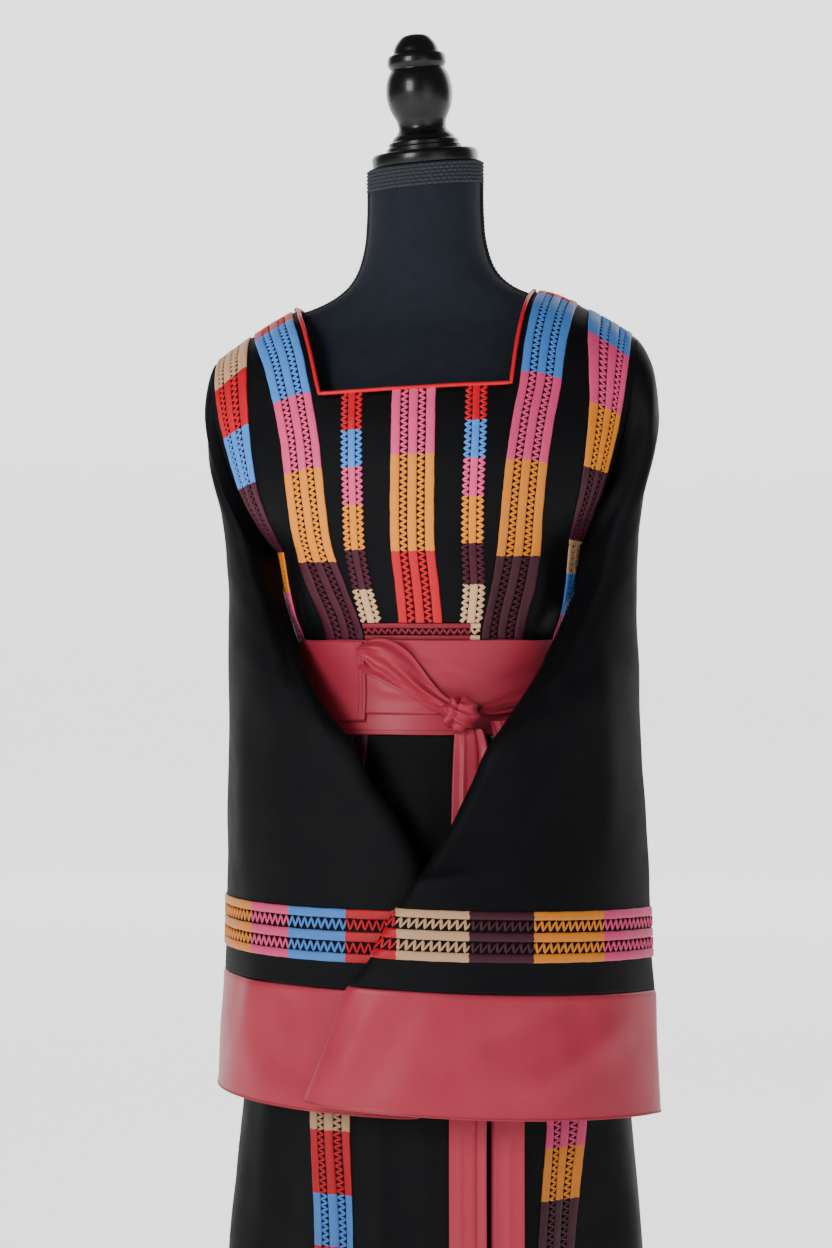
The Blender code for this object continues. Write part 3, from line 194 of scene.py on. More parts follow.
# The dress form
FormRow = namedtuple("FormRow", "height half front back squareness")
FORM = (
    FormRow(0.800, 0.146, 0.096, 0.110, 2.1),
    FormRow(0.812, 0.156, 0.104, 0.118, 2.1),
    FormRow(0.880, 0.160, 0.110, 0.122, 2.1),
    FormRow(0.960, 0.146, 0.104, 0.110, 2.1),
    FormRow(1.045, 0.122, 0.088, 0.086, 2.0),
    FormRow(1.120, 0.128, 0.096, 0.088, 2.0),
    FormRow(1.200, 0.138, 0.116, 0.096, 2.0),
    FormRow(1.270, 0.150, 0.126, 0.101, 2.0),
    FormRow(1.320, 0.162, 0.113, 0.098, 2.0),
    FormRow(1.355, 0.176, 0.096, 0.089, 1.9),
    FormRow(1.386, 0.184, 0.074, 0.077, 1.7),
    FormRow(1.404, 0.188, 0.060, 0.066, 1.55),
    FormRow(1.4155, 0.184, 0.051, 0.060, 1.5),
    FormRow(1.4252, 0.1755, 0.045, 0.055, 1.5),
    FormRow(1.4393, 0.1490, 0.041, 0.052, 1.5),
    FormRow(1.4455, 0.1220, 0.042, 0.053, 1.6),
    FormRow(1.4510, 0.1060, 0.044, 0.055, 1.7),
    FormRow(1.4580, 0.0920, 0.047, 0.058, 1.8),
    FormRow(1.4700, 0.0775, 0.050, 0.061, 1.9),
    FormRow(1.4880, 0.0670, 0.053, 0.063, 2.0),
    FormRow(1.520, 0.060, 0.053, 0.062, 2.05),
    FormRow(1.555, 0.0585, 0.053, 0.061, 2.05),
    FormRow(1.592, 0.0590, 0.054, 0.061, 2.05),
)
CAP_TILT_ACROSS = math.radians(4.5)
CAP_TILT_FORWARD = math.radians(5.0)
CAP_CENTRE = Vector((-0.007, 0.004, FORM[-1].height + 0.0008))
CAP_THICK = 0.0145
KNIT_HEIGHT = 0.023
TurnedRow = namedtuple("TurnedRow", "height radius")
FINIAL = (
    TurnedRow(0.0003, 0.0394),
    TurnedRow(0.0050, 0.0394),
    TurnedRow(0.0065, 0.0370),
    TurnedRow(0.0100, 0.0370),
    TurnedRow(0.0120, 0.0341),
    TurnedRow(0.0160, 0.0315),
    TurnedRow(0.0205, 0.0268),
    TurnedRow(0.0255, 0.0250),
    TurnedRow(0.0320, 0.0258),
    TurnedRow(0.0420, 0.0305),
    TurnedRow(0.0520, 0.0338),
    TurnedRow(0.0620, 0.0349),
    TurnedRow(0.0720, 0.0339),
    TurnedRow(0.0800, 0.0315),
    TurnedRow(0.0865, 0.0279),
    TurnedRow(0.0885, 0.0290),
    TurnedRow(0.0925, 0.0308),
    TurnedRow(0.0970, 0.0305),
    TurnedRow(0.1010, 0.0290),
    TurnedRow(0.1030, 0.0244),
    TurnedRow(0.1090, 0.0226),
    TurnedRow(0.1160, 0.0180),
    TurnedRow(0.1215, 0.0109),
    TurnedRow(0.1232, 0.0002),
)
CAP_PROFILE = (
    TurnedRow(0.0000, 0.0545),
    TurnedRow(0.0008, 0.0556),
    TurnedRow(0.0020, 0.0560),
    TurnedRow(0.0100, 0.0560),
    TurnedRow(0.0125, 0.0552),
    TurnedRow(0.0142, 0.0530),
    TurnedRow(0.0145, 0.0500),
    TurnedRow(0.0145, 0.0370),
)
BASE_PROFILE = (
    TurnedRow(0.0000, 0.1790),
    TurnedRow(0.0010, 0.1800),
    TurnedRow(0.0080, 0.1800),
    TurnedRow(0.0110, 0.1785),
    TurnedRow(0.0132, 0.1745),
    TurnedRow(0.0140, 0.1690),
    TurnedRow(0.0140, 0.0280),
    TurnedRow(0.0155, 0.0248),
    TurnedRow(0.0190, 0.0238),
    TurnedRow(0.0400, 0.0198),
    TurnedRow(0.0435, 0.0185),
    TurnedRow(0.0440, 0.0160),
)
POLE_RADIUS = 0.0125

# Soft creases laid on the cloth: the ends of each on the front view, its width, depth and bow. + is outward.
Crease = namedtuple("Crease", "x0 z0 x1 z1 width depth bow")
FRONT_CREASES = (
    Crease(-0.068, 0.93, -0.070, 0.12, 0.013, -0.0085, 0.004),
    Crease(-0.043, 0.90, -0.040, 0.14, 0.012, 0.0040, -0.004),
    Crease(0.006, 0.98, 0.012, 0.50, 0.012, 0.0025, 0.003),
    Crease(-0.020, 0.99, -0.030, 0.66, 0.010, -0.0025, 0.003),
    Crease(0.130, 0.96, 0.165, 0.30, 0.014, -0.0040, 0.006),
    Crease(-0.150, 0.94, -0.170, 0.35, 0.015, 0.0045, -0.006),
    Crease(-0.120, 1.19, -0.105, 1.10, 0.007, -0.0022, 0.002),
    Crease(0.118, 1.19, 0.104, 1.10, 0.007, -0.0022, 0.002),
    Crease(0.085, 1.30, 0.050, 1.16, 0.010, -0.0012, 0.004),
    Crease(-0.090, 1.28, -0.060, 1.14, 0.010, -0.0012, -0.004),
)
BACK_CREASES = (
    Crease(-0.030, 0.98, -0.045, 0.40, 0.012, -0.0040, 0.004),
    Crease(0.055, 0.97, 0.080, 0.30, 0.013, 0.0040, -0.005),
    Crease(-0.110, 0.95, -0.130, 0.25, 0.014, 0.0045, 0.006),
    Crease(0.120, 0.94, 0.150, 0.35, 0.013, -0.0045, 0.006),
    Crease(-0.100, 1.38, 0.090, 1.33, 0.012, 0.0016, -0.014),
    Crease(-0.080, 1.22, -0.055, 1.10, 0.008, -0.0022, 0.002),
    Crease(0.085, 1.22, 0.060, 1.10, 0.008, -0.0022, -0.002),
)
RIGHT_SLEEVE_CREASES = (
    Crease(0.206, 1.267, 0.094, 1.100, 0.013, 0.0060, 0.006),
    Crease(0.200, 1.235, 0.108, 0.920, 0.016, -0.0055, 0.014),
    Crease(0.222, 1.345, 0.150, 1.215, 0.012, -0.0050, -0.010),
    Crease(0.110, 0.955, 0.030, 0.850, 0.010, -0.0045, 0.006),
    Crease(0.145, 0.990, 0.085, 0.850, 0.013, 0.0032, 0.004),
    Crease(-0.020, 0.853, 0.062, 0.868, 0.006, 0.0030, 0.002),
    Crease(0.180, 1.110, 0.190, 0.860, 0.013, 0.0030, -0.004),
    Crease(0.160, 0.800, 0.175, 0.640, 0.012, -0.0024, 0.003),
    Crease(0.060, 0.760, 0.075, 0.630, 0.012, 0.0022, 0.003),
)
LEFT_SLEEVE_CREASES = (
    Crease(-0.155, 1.262, -0.088, 0.940, 0.011, 0.0042, -0.010),
    Crease(-0.175, 1.240, -0.120, 0.960, 0.014, -0.0040, -0.010),
    Crease(-0.215, 1.350, -0.165, 1.215, 0.012, -0.0048, 0.010),
    Crease(-0.185, 1.050, -0.180, 0.820, 0.013, 0.0028, 0.004),
    Crease(-0.120, 0.930, -0.060, 0.800, 0.012, -0.0026, 0.006),
    Crease(-0.165, 0.790, -0.170, 0.640, 0.012, 0.0020, 0.003),
    Crease(-0.120, 0.750, -0.110, 0.630, 0.012, -0.0022, 0.003),
)
CUFF_CREASES = (
    Crease(0.120, 0.752, 0.116, 0.700, 0.0022, -0.0012, 0.000),
    Crease(-0.030, 0.745, -0.075, 0.640, 0.010, 0.0026, 0.004),
    Crease(0.020, 0.760, -0.040, 0.640, 0.018, -0.0022, 0.006),
    Crease(0.215, 0.725, 0.090, 0.650, 0.018, 0.0030, -0.012),
    Crease(0.160, 0.750, 0.060, 0.690, 0.016, -0.0022, -0.006),
    Crease(-0.120, 0.760, -0.150, 0.650, 0.016, -0.0022, 0.004),
    Crease(-0.160, 0.760, -0.195, 0.650, 0.014, 0.0022, 0.004),
)

# The satin belt
BELT_LIFT, SATIN_WALL = 0.0024, 0.0014
UPPER_WRAP_FOOT = 0.79  # share of the belt's height where the upper wrap ends
LOWER_WRAP_TOP = 0.66
FLAP_ANGLES = (-80.0, -24.0)
KNOT_CENTRE = Vector((0.0425, -0.1285, 1.0195))
KNOT_SIZE = Vector((0.0168, 0.0130, 0.0178))
WrapCrease = namedtuple("WrapCrease", "from_angle to_angle from_share to_share width depth")
WRAP_CREASES = (  # on the belt: where each starts and ends round it and down it
    WrapCrease(-30, 25, 0.16, 0.34, 0.050, 0.0013),
    WrapCrease(-25, 22, 0.34, 0.55, 0.050, -0.0016),
    WrapCrease(-20, 20, 0.52, 0.66, 0.050, 0.0013),
    WrapCrease(-12, 18, 0.05, 0.42, 0.045, -0.0012),
    WrapCrease(22, 80, 0.62, 0.30, 0.060, 0.0014),
    WrapCrease(26, 80, 0.48, 0.14, 0.060, -0.0012),
    WrapCrease(-85, -140, 0.40, 0.55, 0.070, 0.0012),
    WrapCrease(90, 170, 0.30, 0.45, 0.060, -0.0012),
    WrapCrease(120, 200, 0.60, 0.50, 0.060, 0.0012),
)
TailRow = namedtuple("TailRow", "height left right lift")
TAIL_FRONT = (
    TailRow(1.004, 0.036, 0.064, 0.0075),
    TailRow(0.985, 0.034, 0.069, 0.0050),
    TailRow(0.930, 0.033, 0.072, 0.0030),
    TailRow(0.860, 0.033, 0.073, 0.0028),
    TailRow(0.780, 0.034, 0.073, 0.0026),
    TailRow(0.620, 0.035, 0.073, 0.0024),
    TailRow(0.455, 0.036, 0.074, 0.0022),
    TailRow(0.321, 0.037, 0.075, 0.0022),
)
TAIL_BACK = (
    TailRow(1.012, 0.070, 0.088, 0.0070),
    TailRow(0.985, 0.0755, 0.096, 0.0046),
    TailRow(0.930, 0.0765, 0.102, 0.0040),
    TailRow(0.860, 0.0765, 0.105, 0.0038),
    TailRow(0.780, 0.0765, 0.107, 0.0036),
    TailRow(0.620, 0.0765, 0.110, 0.0034),
    TailRow(0.455, 0.0775, 0.111, 0.0032),
    TailRow(0.351, 0.0785, 0.112, 0.0032),
)
TieRow = namedtuple("TieRow", "angle height half lift")
TIE_LEFT = (
    TieRow(-26.0, 1.0835, 0.0045, 0.0080),
    TieRow(-21.5, 1.0850, 0.0120, 0.0115),
    TieRow(-15.5, 1.0810, 0.0195, 0.0135),
    TieRow(-7.0, 1.0640, 0.0190, 0.0125),
    TieRow(0.5, 1.0450, 0.0140, 0.0115),
    TieRow(7.0, 1.0310, 0.0085, 0.0120),
    TieRow(12.0, 1.0230, 0.0060, 0.0150),
)
TIE_FOLD = (
    TieRow(-26.5, 1.0660, 0.0030, 0.0060),
    TieRow(-20.0, 1.0630, 0.0055, 0.0075),
    TieRow(-10.0, 1.0520, 0.0070, 0.0080),
    TieRow(-1.0, 1.0380, 0.0065, 0.0085),
    TieRow(6.5, 1.0240, 0.0050, 0.0095),
    TieRow(11.5, 1.0170, 0.0040, 0.0115),
)
TIE_RIGHT = (
    TieRow(22.5, 1.0225, 0.0050, 0.0150),
    TieRow(28.0, 1.0240, 0.0075, 0.0110),
    TieRow(36.0, 1.0285, 0.0095, 0.0085),
    TieRow(46.0, 1.0335, 0.0105, 0.0075),
    TieRow(56.0, 1.0380, 0.0110, 0.0070),
    TieRow(64.0, 1.0405, 0.0110, 0.0065),
)

# Where a stripe changes colour: each colour runs down to a height, or across to an x on a sleeve.
# tone is the share of the colour's brightness that its dye has.
# The third field scales each block's colour down: below the belt this is painted shade, on the right side
# partly painted shade and partly a darker cloth, and on the sleeves a plain darkening.
Block = namedtuple("Block", "colour until tone", defaults=(1.0,))
# Factors that scale the stripes' colours down: painted shade on the skirt, painted shade and partly a darker
# cloth on the right side, a plain darkening on the sleeves.
SKIRT_PAINTED_SHADE, RIGHT_PAINTED_SHADE, SLEEVE_DIMMING = 0.55, 0.72, 0.66


def dimmed(blocks, tone):
    """The same blocks, their colours scaled down by a factor."""
    return tuple(block._replace(tone=tone) for block in blocks)


SKIRT_LEFT = (
    # The top plum block is a dark colour put where the stripe lies in shade just under the belt; the real
    # colour there is not known.
    Block("plum", 0.935),
    Block("orange", 0.870),
    Block("plum", 0.805),
    Block("blue", 0.740),
    Block("pink", 0.672),
    Block("beige", 0.604),
    Block("red", 0.543),
    Block("blue", 0.492),
    Block("red", 0.430),
    Block("orange", 0.368),
    Block("plum", 0.306),
    Block("beige", 0.244),
    Block("pink", 0.182),
    Block("blue", 0.120),
    Block("red", 0.000),
)
SKIRT_RIGHT = (
    Block("beige", 0.935),
    Block("red", 0.870),
    Block("blue", 0.805),
    Block("red", 0.740),
    Block("beige", 0.672),
    Block("pink", 0.584),
    Block("orange", 0.532),
    Block("plum", 0.480),
    Block("blue", 0.420),
    Block("beige", 0.358),
    Block("red", 0.296),
    Block("blue", 0.234),
    Block("orange", 0.172),
    Block("pink", 0.110),
    Block("plum", 0.000),
)
SKIRT_LEFT, SKIRT_RIGHT = dimmed(SKIRT_LEFT, SKIRT_PAINTED_SHADE), dimmed(SKIRT_RIGHT, SKIRT_PAINTED_SHADE)
BLOCKS = {
    "centre": (Block("pink", 1.2817), Block("orange", 1.1858), Block("red", 0.0)),
    "narrow_left": (
        Block("red", 1.307),
        Block("blue", 1.2696),
        Block("pink", 1.231),
        Block("orange", 1.1868),
        Block("plum", 1.146),
        Block("beige", 0.0),
    ),
    "narrow_right": (
        Block("red", 1.316),
        Block("blue", 1.2787),
        Block("pink", 1.2403),
        Block("orange", 1.1928),
        Block("plum", 1.1514),
        Block("beige", 0.0),
    ),
    "mid_left": (
        Block("red", 1.419),
        Block("blue", 1.347),
        Block("pink", 1.2676),
        Block("orange", 1.1757),
        Block("plum", 0.997),
    )
    + SKIRT_LEFT,
    "mid_right": dimmed(
        (
            Block("red", 1.450),
            Block("blue", 1.366),
            Block("pink", 1.2817),
            Block("orange", 1.1827),
            Block("plum", 1.100),
            Block("beige", 0.997),
        ),
        RIGHT_PAINTED_SHADE,
    )
    + SKIRT_RIGHT,
    "outer_left": (
        Block("beige", 1.3625),
        Block("red", 1.310),
        Block("blue", 1.2524),
        Block("plum", 1.187),
        Block("orange", 1.145),
        Block("pink", 0.0),
    ),
    "outer_right": dimmed(
        (
            Block("blue", 1.395),
            Block("pink", 1.330),
            Block("orange", 1.268),
            Block("plum", 1.198),
            Block("beige", 1.165),
            Block("blue", 1.12),
            Block("pink", 0.0),
        ),
        RIGHT_PAINTED_SHADE,
    ),
    "back_mid_left": (
        Block("red", 1.40),
        Block("orange", 1.33),
        Block("blue", 1.25),
        Block("pink", 1.17),
        Block("plum", 0.997),
    )
    + SKIRT_LEFT,
    "back_mid_right": (
        Block("red", 1.42),
        Block("beige", 1.34),
        Block("plum", 1.26),
        Block("pink", 1.18),
        Block("orange", 0.997),
    )
    + SKIRT_RIGHT,
    "back_outer_left": (
        Block("red", 1.36),
        Block("pink", 1.30),
        Block("orange", 1.24),
        Block("blue", 1.18),
        Block("plum", 0.0),
    ),
    "back_outer_right": (
        Block("red", 1.38),
        Block("orange", 1.32),
        Block("plum", 1.26),
        Block("blue", 1.20),
        Block("pink", 0.0),
    ),
    "waist": (Block("wine", 0.050), Block("beige", 1.0)),
    "sleeve_right": dimmed(
        (
            Block("pink", 0.189),
            Block("orange", 0.126),
            Block("plum", 0.062),
            Block("beige", -0.010),
            Block("red", -1.0),
        ),
        SLEEVE_DIMMING,
    ),
    "sleeve_left": dimmed(
        (
            Block("plum", -0.203),
            Block("orange", -0.177),
            Block("pink", -0.131),
            Block("blue", -0.075),
            Block("red", -0.020),
            Block("beige", 1.0),
        ),
        SLEEVE_DIMMING,
    ),
}
# The blocks on the hidden half of a sleeve's stripe, and the length of each
UNDER_CYCLE = ("blue", "orange", "plum", "beige", "red", "pink")
UNDER_BLOCK = 0.066
SLEEVE_STRIPE_HALF, WAIST_STRIPE_HALF = 0.0255, 0.012
STRIPE_COLOURS = (*UNDER_CYCLE, "wine")

EYE_DISTANCE, EYE_HEIGHT, EYE_AZIMUTH = 3.1, 1.11, 6.0


def colour_prop(name, description, colour):
    return bpy.props.FloatVectorProperty(
        name=name, description=description, default=colour, size=3, min=0.0, max=1.0, subtype="COLOR"
    )


def length_prop(name, description, size):
    return bpy.props.FloatProperty(
        name=name,
        description=description,
        default=size,
        min=0.0,
        precision=5,
        subtype="DISTANCE",
        unit="LENGTH",
    )


class ThobeColours(bpy.types.PropertyGroup):
    crepe: colour_prop("Crepe", "Black crepe of the dress", (0.0010, 0.0012, 0.0018))
    satin: colour_prop("Satin", "Dusty rose satin of the belt and cuffs", (0.300, 0.0235, 0.0435))
    piping: colour_prop("Piping", "Red satin piping of the neckline", (0.560, 0.006, 0.016))
    jersey: colour_prop("Jersey", "Stretch cover of the dress form", (0.0095, 0.0120, 0.0180))
    wood: colour_prop("Wood", "Lacquer of the turned finial and cap", (0.0016, 0.0017, 0.0019))
    paint: colour_prop("Paint", "Paint of the stand", (0.0040, 0.0040, 0.0045))
    blue: colour_prop("Blue", "Blue blocks of the stripes", (0.070, 0.270, 0.800))
    pink: colour_prop("Pink", "Pink blocks of the stripes", (0.900, 0.072, 0.230))
    orange: colour_prop("Orange", "Orange blocks of the stripes", (0.930, 0.275, 0.013))
    red: colour_prop("Red", "Red blocks of the stripes", (0.630, 0.002, 0.014))
    plum: colour_prop("Plum", "Plum blocks of the stripes", (0.058, 0.0035, 0.016))
    beige: colour_prop("Beige", "Beige blocks of the stripes", (0.720, 0.420, 0.230))
    wine: colour_prop("Wine", "Wine red of the waist stripe", (0.250, 0.014, 0.030))


class ThobeSizes(bpy.types.PropertyGroup):
    crepe_wall: length_prop("Crepe", "Thickness of the crepe", 0.0012)
    band_dome: length_prop("Band", "How far a satin band stands up", 0.0016)
    lace_pitch: length_prop("Lace pitch", "Length of one repeat of the body's lace", 0.0062)
    sleeve_lace_pitch: length_prop("Sleeve lace pitch", "Length of one repeat on the sleeves", 0.0080)
    lace_thread: length_prop("Lace thread", "Half width of the lace's zigzag", 0.00135)
    piping: length_prop("Piping", "Radius of the piping", 0.0021)
    stitch: length_prop("Stitch", "Length of one topstitch", 0.0028)


class ThobeStage(bpy.types.PropertyGroup):
    floor: colour_prop("Floor", "Pale studio floor", (0.86, 0.86, 0.86))
    key: bpy.props.FloatProperty(
        name="Key light",
        description="Power of the large light in front on the left",
        default=175.0,
        min=0.0,
        unit="POWER",
    )
    world: bpy.props.FloatProperty(
        name="World", description="Strength of the even light from all sides", default=0.17, min=0.0
    )


def colours():
    return bpy.context.scene.thobe_colours


def sizes():
    return bpy.context.scene.thobe_sizes


# Smooth tables and surfaces


def smooth_step(value, start, end):
    share = np.clip((value - start) / (end - start), 0.0, 1.0)
    return share * share * (3.0 - 2.0 * share)


def limited_slope(before, after):
    """A slope at a row that never overshoots its neighbours."""
    total = before + after
    total = np.where(np.abs(total) < 1e-12, 1.0, total)
    return np.where(before * after <= 0, 0.0, 2 * before * after / total)


def read_rows(table, level):
    """The row at each level between two rows of a table, on smooth curves through the rows."""
    values = np.array(table, dtype=float)
    level = np.clip(np.asarray(level, dtype=float), 0.0, len(table) - 1.0)
    low = np.minimum(level.astype(int), len(table) - 2)
    t = (level - low)[..., None]
    before, start = values[np.maximum(low - 1, 0)], values[low]
    end, after = values[low + 1], values[np.minimum(low + 2, len(table) - 1)]
    leave, arrive = limited_slope(start - before, end - start), limited_slope(end - start, after - end)
    found = (
        (2 * t**3 - 3 * t**2 + 1) * start
        + (t**3 - 2 * t**2 + t) * leave
        + (3 * t**2 - 2 * t**3) * end
        + (t**3 - t**2) * arrive
    )
    return type(table[0])(*np.moveaxis(found, -1, 0))


def settle(x, y, z):
    """The figure stands askew: the points after the tilt of the shoulders and the sway of the neck."""
    tilt = TILT * smooth_step(z, TILT_FROM, TILT_FULL)
    sway = SWAY_LOW + (SWAY_HIGH - SWAY_LOW) * smooth_step(z, SWAY_FROM, SWAY_FULL)
    return np.stack(np.broadcast_arrays(x + sway, y, z + tilt * x), axis=-1)


def end_shape(share, end):
    from_fold = 1.0 - np.abs(2.0 * share - 1.0)
    inside = np.clip(1.0 - np.minimum(from_fold / end, 1.0), 0.0, 1.0)
    return np.sqrt(1.0 - inside**2)


def sleeve_section(row, share, layer):
    """x, y and z of points on sections of a sleeve at +X. layer is 1 outside and -1 towards the body."""
    angle = np.radians(row.angle_outer + (row.angle_inner - row.angle_outer) * share)
    radius = row.rx_outer + (row.rx_inner - row.rx_outer) * share
    bow = row.bow * 4.0 * share * (1.0 - share)
    faces = angle * row.turn
    thick = layer * row.half_thick * end_shape(share, row.end)
    x = radius * np.sin(angle) + bow + thick * np.sin(faces)
    y = -row.ry * np.cos(angle) - thick * np.cos(faces)
    return x, y, row.z_outer + (row.z_inner - row.z_outer) * share


def fold_depth(folds, angle, height):
    depth = 0.0
    for fold in folds:
        away = (angle - fold.angle + 180.0) % 360.0 - 180.0
        rise = smooth_step(fold.top - height, 0.0, fold.top - fold.full)
        depth = depth + fold.depth * rise * np.exp(-((away / fold.width) ** 2))
    return depth


def body_surface(level, angle, side):
    """Points on the outside of the dress body. side is 1 for the front panel and -1 for the back."""
    level, angle = np.broadcast_arrays(level, angle)
    row = read_rows(BODY, level)
    turn = np.radians(angle)
    across, ahead = np.sin(turn), np.abs(np.cos(turn))
    hole_x, hole_y, hole_z = sleeve_section(SLEEVE_RIGHT[0], row.hole, side)
    open_row = row.hole < 1.0
    edge_x = np.where(open_row, hole_x, row.edge_x)
    edge_y = np.where(open_row, np.abs(hole_y), 0.0)
    edge_z = np.where(open_row, hole_z, row.height)
    reach = row.front if side > 0 else row.back
    depth = edge_y + (reach - edge_y) * ahead**row.fall
    depth = np.where(level <= 0.0, 0.0, depth)
    slope = np.clip((np.abs(across) - 0.55) / 0.45, 0.0, None) ** 1.3
    height = row.height + (edge_z - row.height) * slope
    out = fold_depth(SKIRT_FOLDS, angle, height)
    out = out + fold_depth(BODICE_FOLDS, angle, height) * smooth_step(height, 1.085, 1.125)
    return settle(edge_x * across + out * across, -side * (depth + out * ahead), height)


def surface_normal(surface, u, v, step_u, step_v):
    along_u = surface(u + step_u, v) - surface(u - step_u, v)
    along_v = surface(u, v + step_v) - surface(u, v - step_v)
    normal = np.cross(along_u, along_v)
    return normal / np.maximum(np.linalg.norm(normal, axis=-1, keepdims=True), 1e-12)


def crease_lift(creases, spots):
    """How far a cloth stands out at each spot for its creases, placed on the front view."""
    x, z = spots[..., 0], spots[..., 2]
    lift = np.zeros(x.shape)
    for crease in creases:
        run, drop = crease.x1 - crease.x0, crease.z1 - crease.z0
        length = math.hypot(run, drop)
        along = ((x - crease.x0) * run + (z - crease.z0) * drop) / length**2
        inside = np.clip(along, 0.0, 1.0)
        away = ((x - crease.x0) * drop - (z - crease.z0) * run) / length
        away = away - crease.bow * 4.0 * inside * (1.0 - inside)
        fade = smooth_step(along, -0.05, 0.30) * smooth_step(1.0 - along, -0.05, 0.30)
        lift += crease.depth * fade * np.exp(-((away / crease.width) ** 2))
    return lift


def ripple(spots, size, seed):
    """A smooth uneven value from -1 to 1, about size metres between its bumps."""
    total = 0.0
    for n in range(5):
        turn = seed * 1.7 + n * 2.4
        way = np.array((math.cos(turn), math.sin(turn * 1.3), math.sin(turn))) * (0.8 + 0.13 * n)
        total = total + np.sin(spots @ way * (2 * math.pi / size) + seed * (n + 1))
    return total / 5.0


def body_cloth(level, angle, side, out=0.0):
    """Points on the finished panel, or a distance out from it."""
    level, angle = np.broadcast_arrays(np.asarray(level, dtype=float), np.asarray(angle, dtype=float))
    spots = body_surface(level, angle, side)
    away = angle if side > 0 else (angle % 360.0) - 180.0
    inside = np.clip(away, -89.0, 89.0) + (0.0 if side > 0 else 180.0)
    normal = surface_normal(
        lambda u, v: body_surface(u, v, side), np.clip(level, 0.06, HEM_LEVEL - 0.06), inside, 0.05, 0.8
    )
    creases = FRONT_CREASES if side > 0 else BACK_CREASES
    at_seam = smooth_step(90.0 - np.abs(away), 0.0, 8.0)
    fine = ripple(spots, 0.075, 3.0 + side) * 0.0006 + ripple(spots, 0.030, 5.0 + side) * 0.0002
    lift = (crease_lift(creases, spots) + fine * smooth_step(level, 0.0, 1.0)) * at_seam
    lift = lift * (1.0 - 0.85 * np.exp(-(((level - 11.0) / 1.1) ** 4)))
    return spots + (lift + out)[..., None] * normal


def ring_shares(end):
    """Shares of a section's width at its points, from the outer fold to the inner one, for each end."""
    end = np.asarray(end)[..., None]
    near = np.array(RING_STEPS) * end / 2
    half = np.concatenate([near, (near[..., -1:] + 0.5) / 2, np.full(end.shape, 0.5)], axis=-1)
    flat = np.concatenate([half, 1.0 - half[..., -2::-1]], axis=-1)
    blend = smooth_step(end, FLAT_END, SLEEVE_RIGHT[0].end)
    return flat + (np.array(ARMHOLE_SHARES) - flat) * blend


RING_COUNT = len(ARMHOLE_SHARES) - 1


def sleeve_surface(rows, hand, level, around):
    """Points on a sleeve. around counts the points of a section: out over the front, back under it."""
    level, around = np.broadcast_arrays(np.asarray(level, dtype=float), np.asarray(around, dtype=float))
    row = read_rows(rows, level)
    shares = ring_shares(row.end)
    around = around % (2 * RING_COUNT)
    layer = np.where(around <= RING_COUNT, 1.0, -1.0)
    place = np.where(layer > 0, around, 2 * RING_COUNT - around)
    low = np.minimum(place.astype(int), RING_COUNT - 1)
    start = np.take_along_axis(shares, low[..., None], -1)[..., 0]
    end = np.take_along_axis(shares, low[..., None] + 1, -1)[..., 0]
    share = start + (end - start) * (place - low)
    x, y, z = sleeve_section(row, share, layer)
    tuck = UNDERARM_TUCK * smooth_step(level, 0.0, 0.4) * (1.0 - smooth_step(level, 1.4, 2.8)) * share**6
    return settle(hand * (x + ARMHOLE_GAP * smooth_step(level, 0.0, 0.6) - tuck), y, z)


def sleeve_cloth(rows, hand, level, around, out=0.0):
    level, around = np.broadcast_arrays(np.asarray(level, dtype=float), np.asarray(around, dtype=float))
    spots = sleeve_surface(rows, hand, level, around)
    inside = np.clip(level, 0.06, SLEEVE_FOOT_LEVEL - 0.06)
    normal = -hand * surface_normal(
        lambda u, v: sleeve_surface(rows, hand, u, v), inside, around, 0.05, 0.35
    )
    creases = RIGHT_SLEEVE_CREASES if hand > 0 else LEFT_SLEEVE_CREASES
    turned = around % (2 * RING_COUNT)
    on_front = np.where(turned <= RING_COUNT, 1.0, -0.6)
    from_fold = np.abs((turned % RING_COUNT) - RING_COUNT / 2)
    at_fold = 1.0 - smooth_step(from_fold, RING_COUNT / 2 - 2.2, RING_COUNT / 2 - 0.4)
    lift = crease_lift(creases, spots) * on_front * at_fold
    lift += ripple(spots, 0.085, 7.0 + hand) * 0.0007 * smooth_step(level, 0.0, 1.0)
    lift *= 1.0 - np.exp(-((level - SLEEVE_STRIPE_LEVELS[0] - 0.5) ** 2) * 2.0) * 0.4
    return spots + (lift + out)[..., None] * normal


def belt_cloth(share, angle, out):
    """Points out from the body between the belt's top and its foot, in front and behind."""
    share, angle = np.broadcast_arrays(np.asarray(share, dtype=float), np.asarray(angle, dtype=float))
    angle = (angle + 180.0) % 360.0 - 180.0
    level = BELT_TOP_LEVEL + (BELT_FOOT_LEVEL - BELT_TOP_LEVEL) * share
    front = body_cloth(level, np.clip(angle, -90.0, 90.0), 1, out)
    back = body_cloth(level, np.where(np.abs(angle) < 90.0, 90.0, angle), -1, out)
    return np.where((np.abs(angle) <= 90.0)[..., None], front, back)


# Making pieces


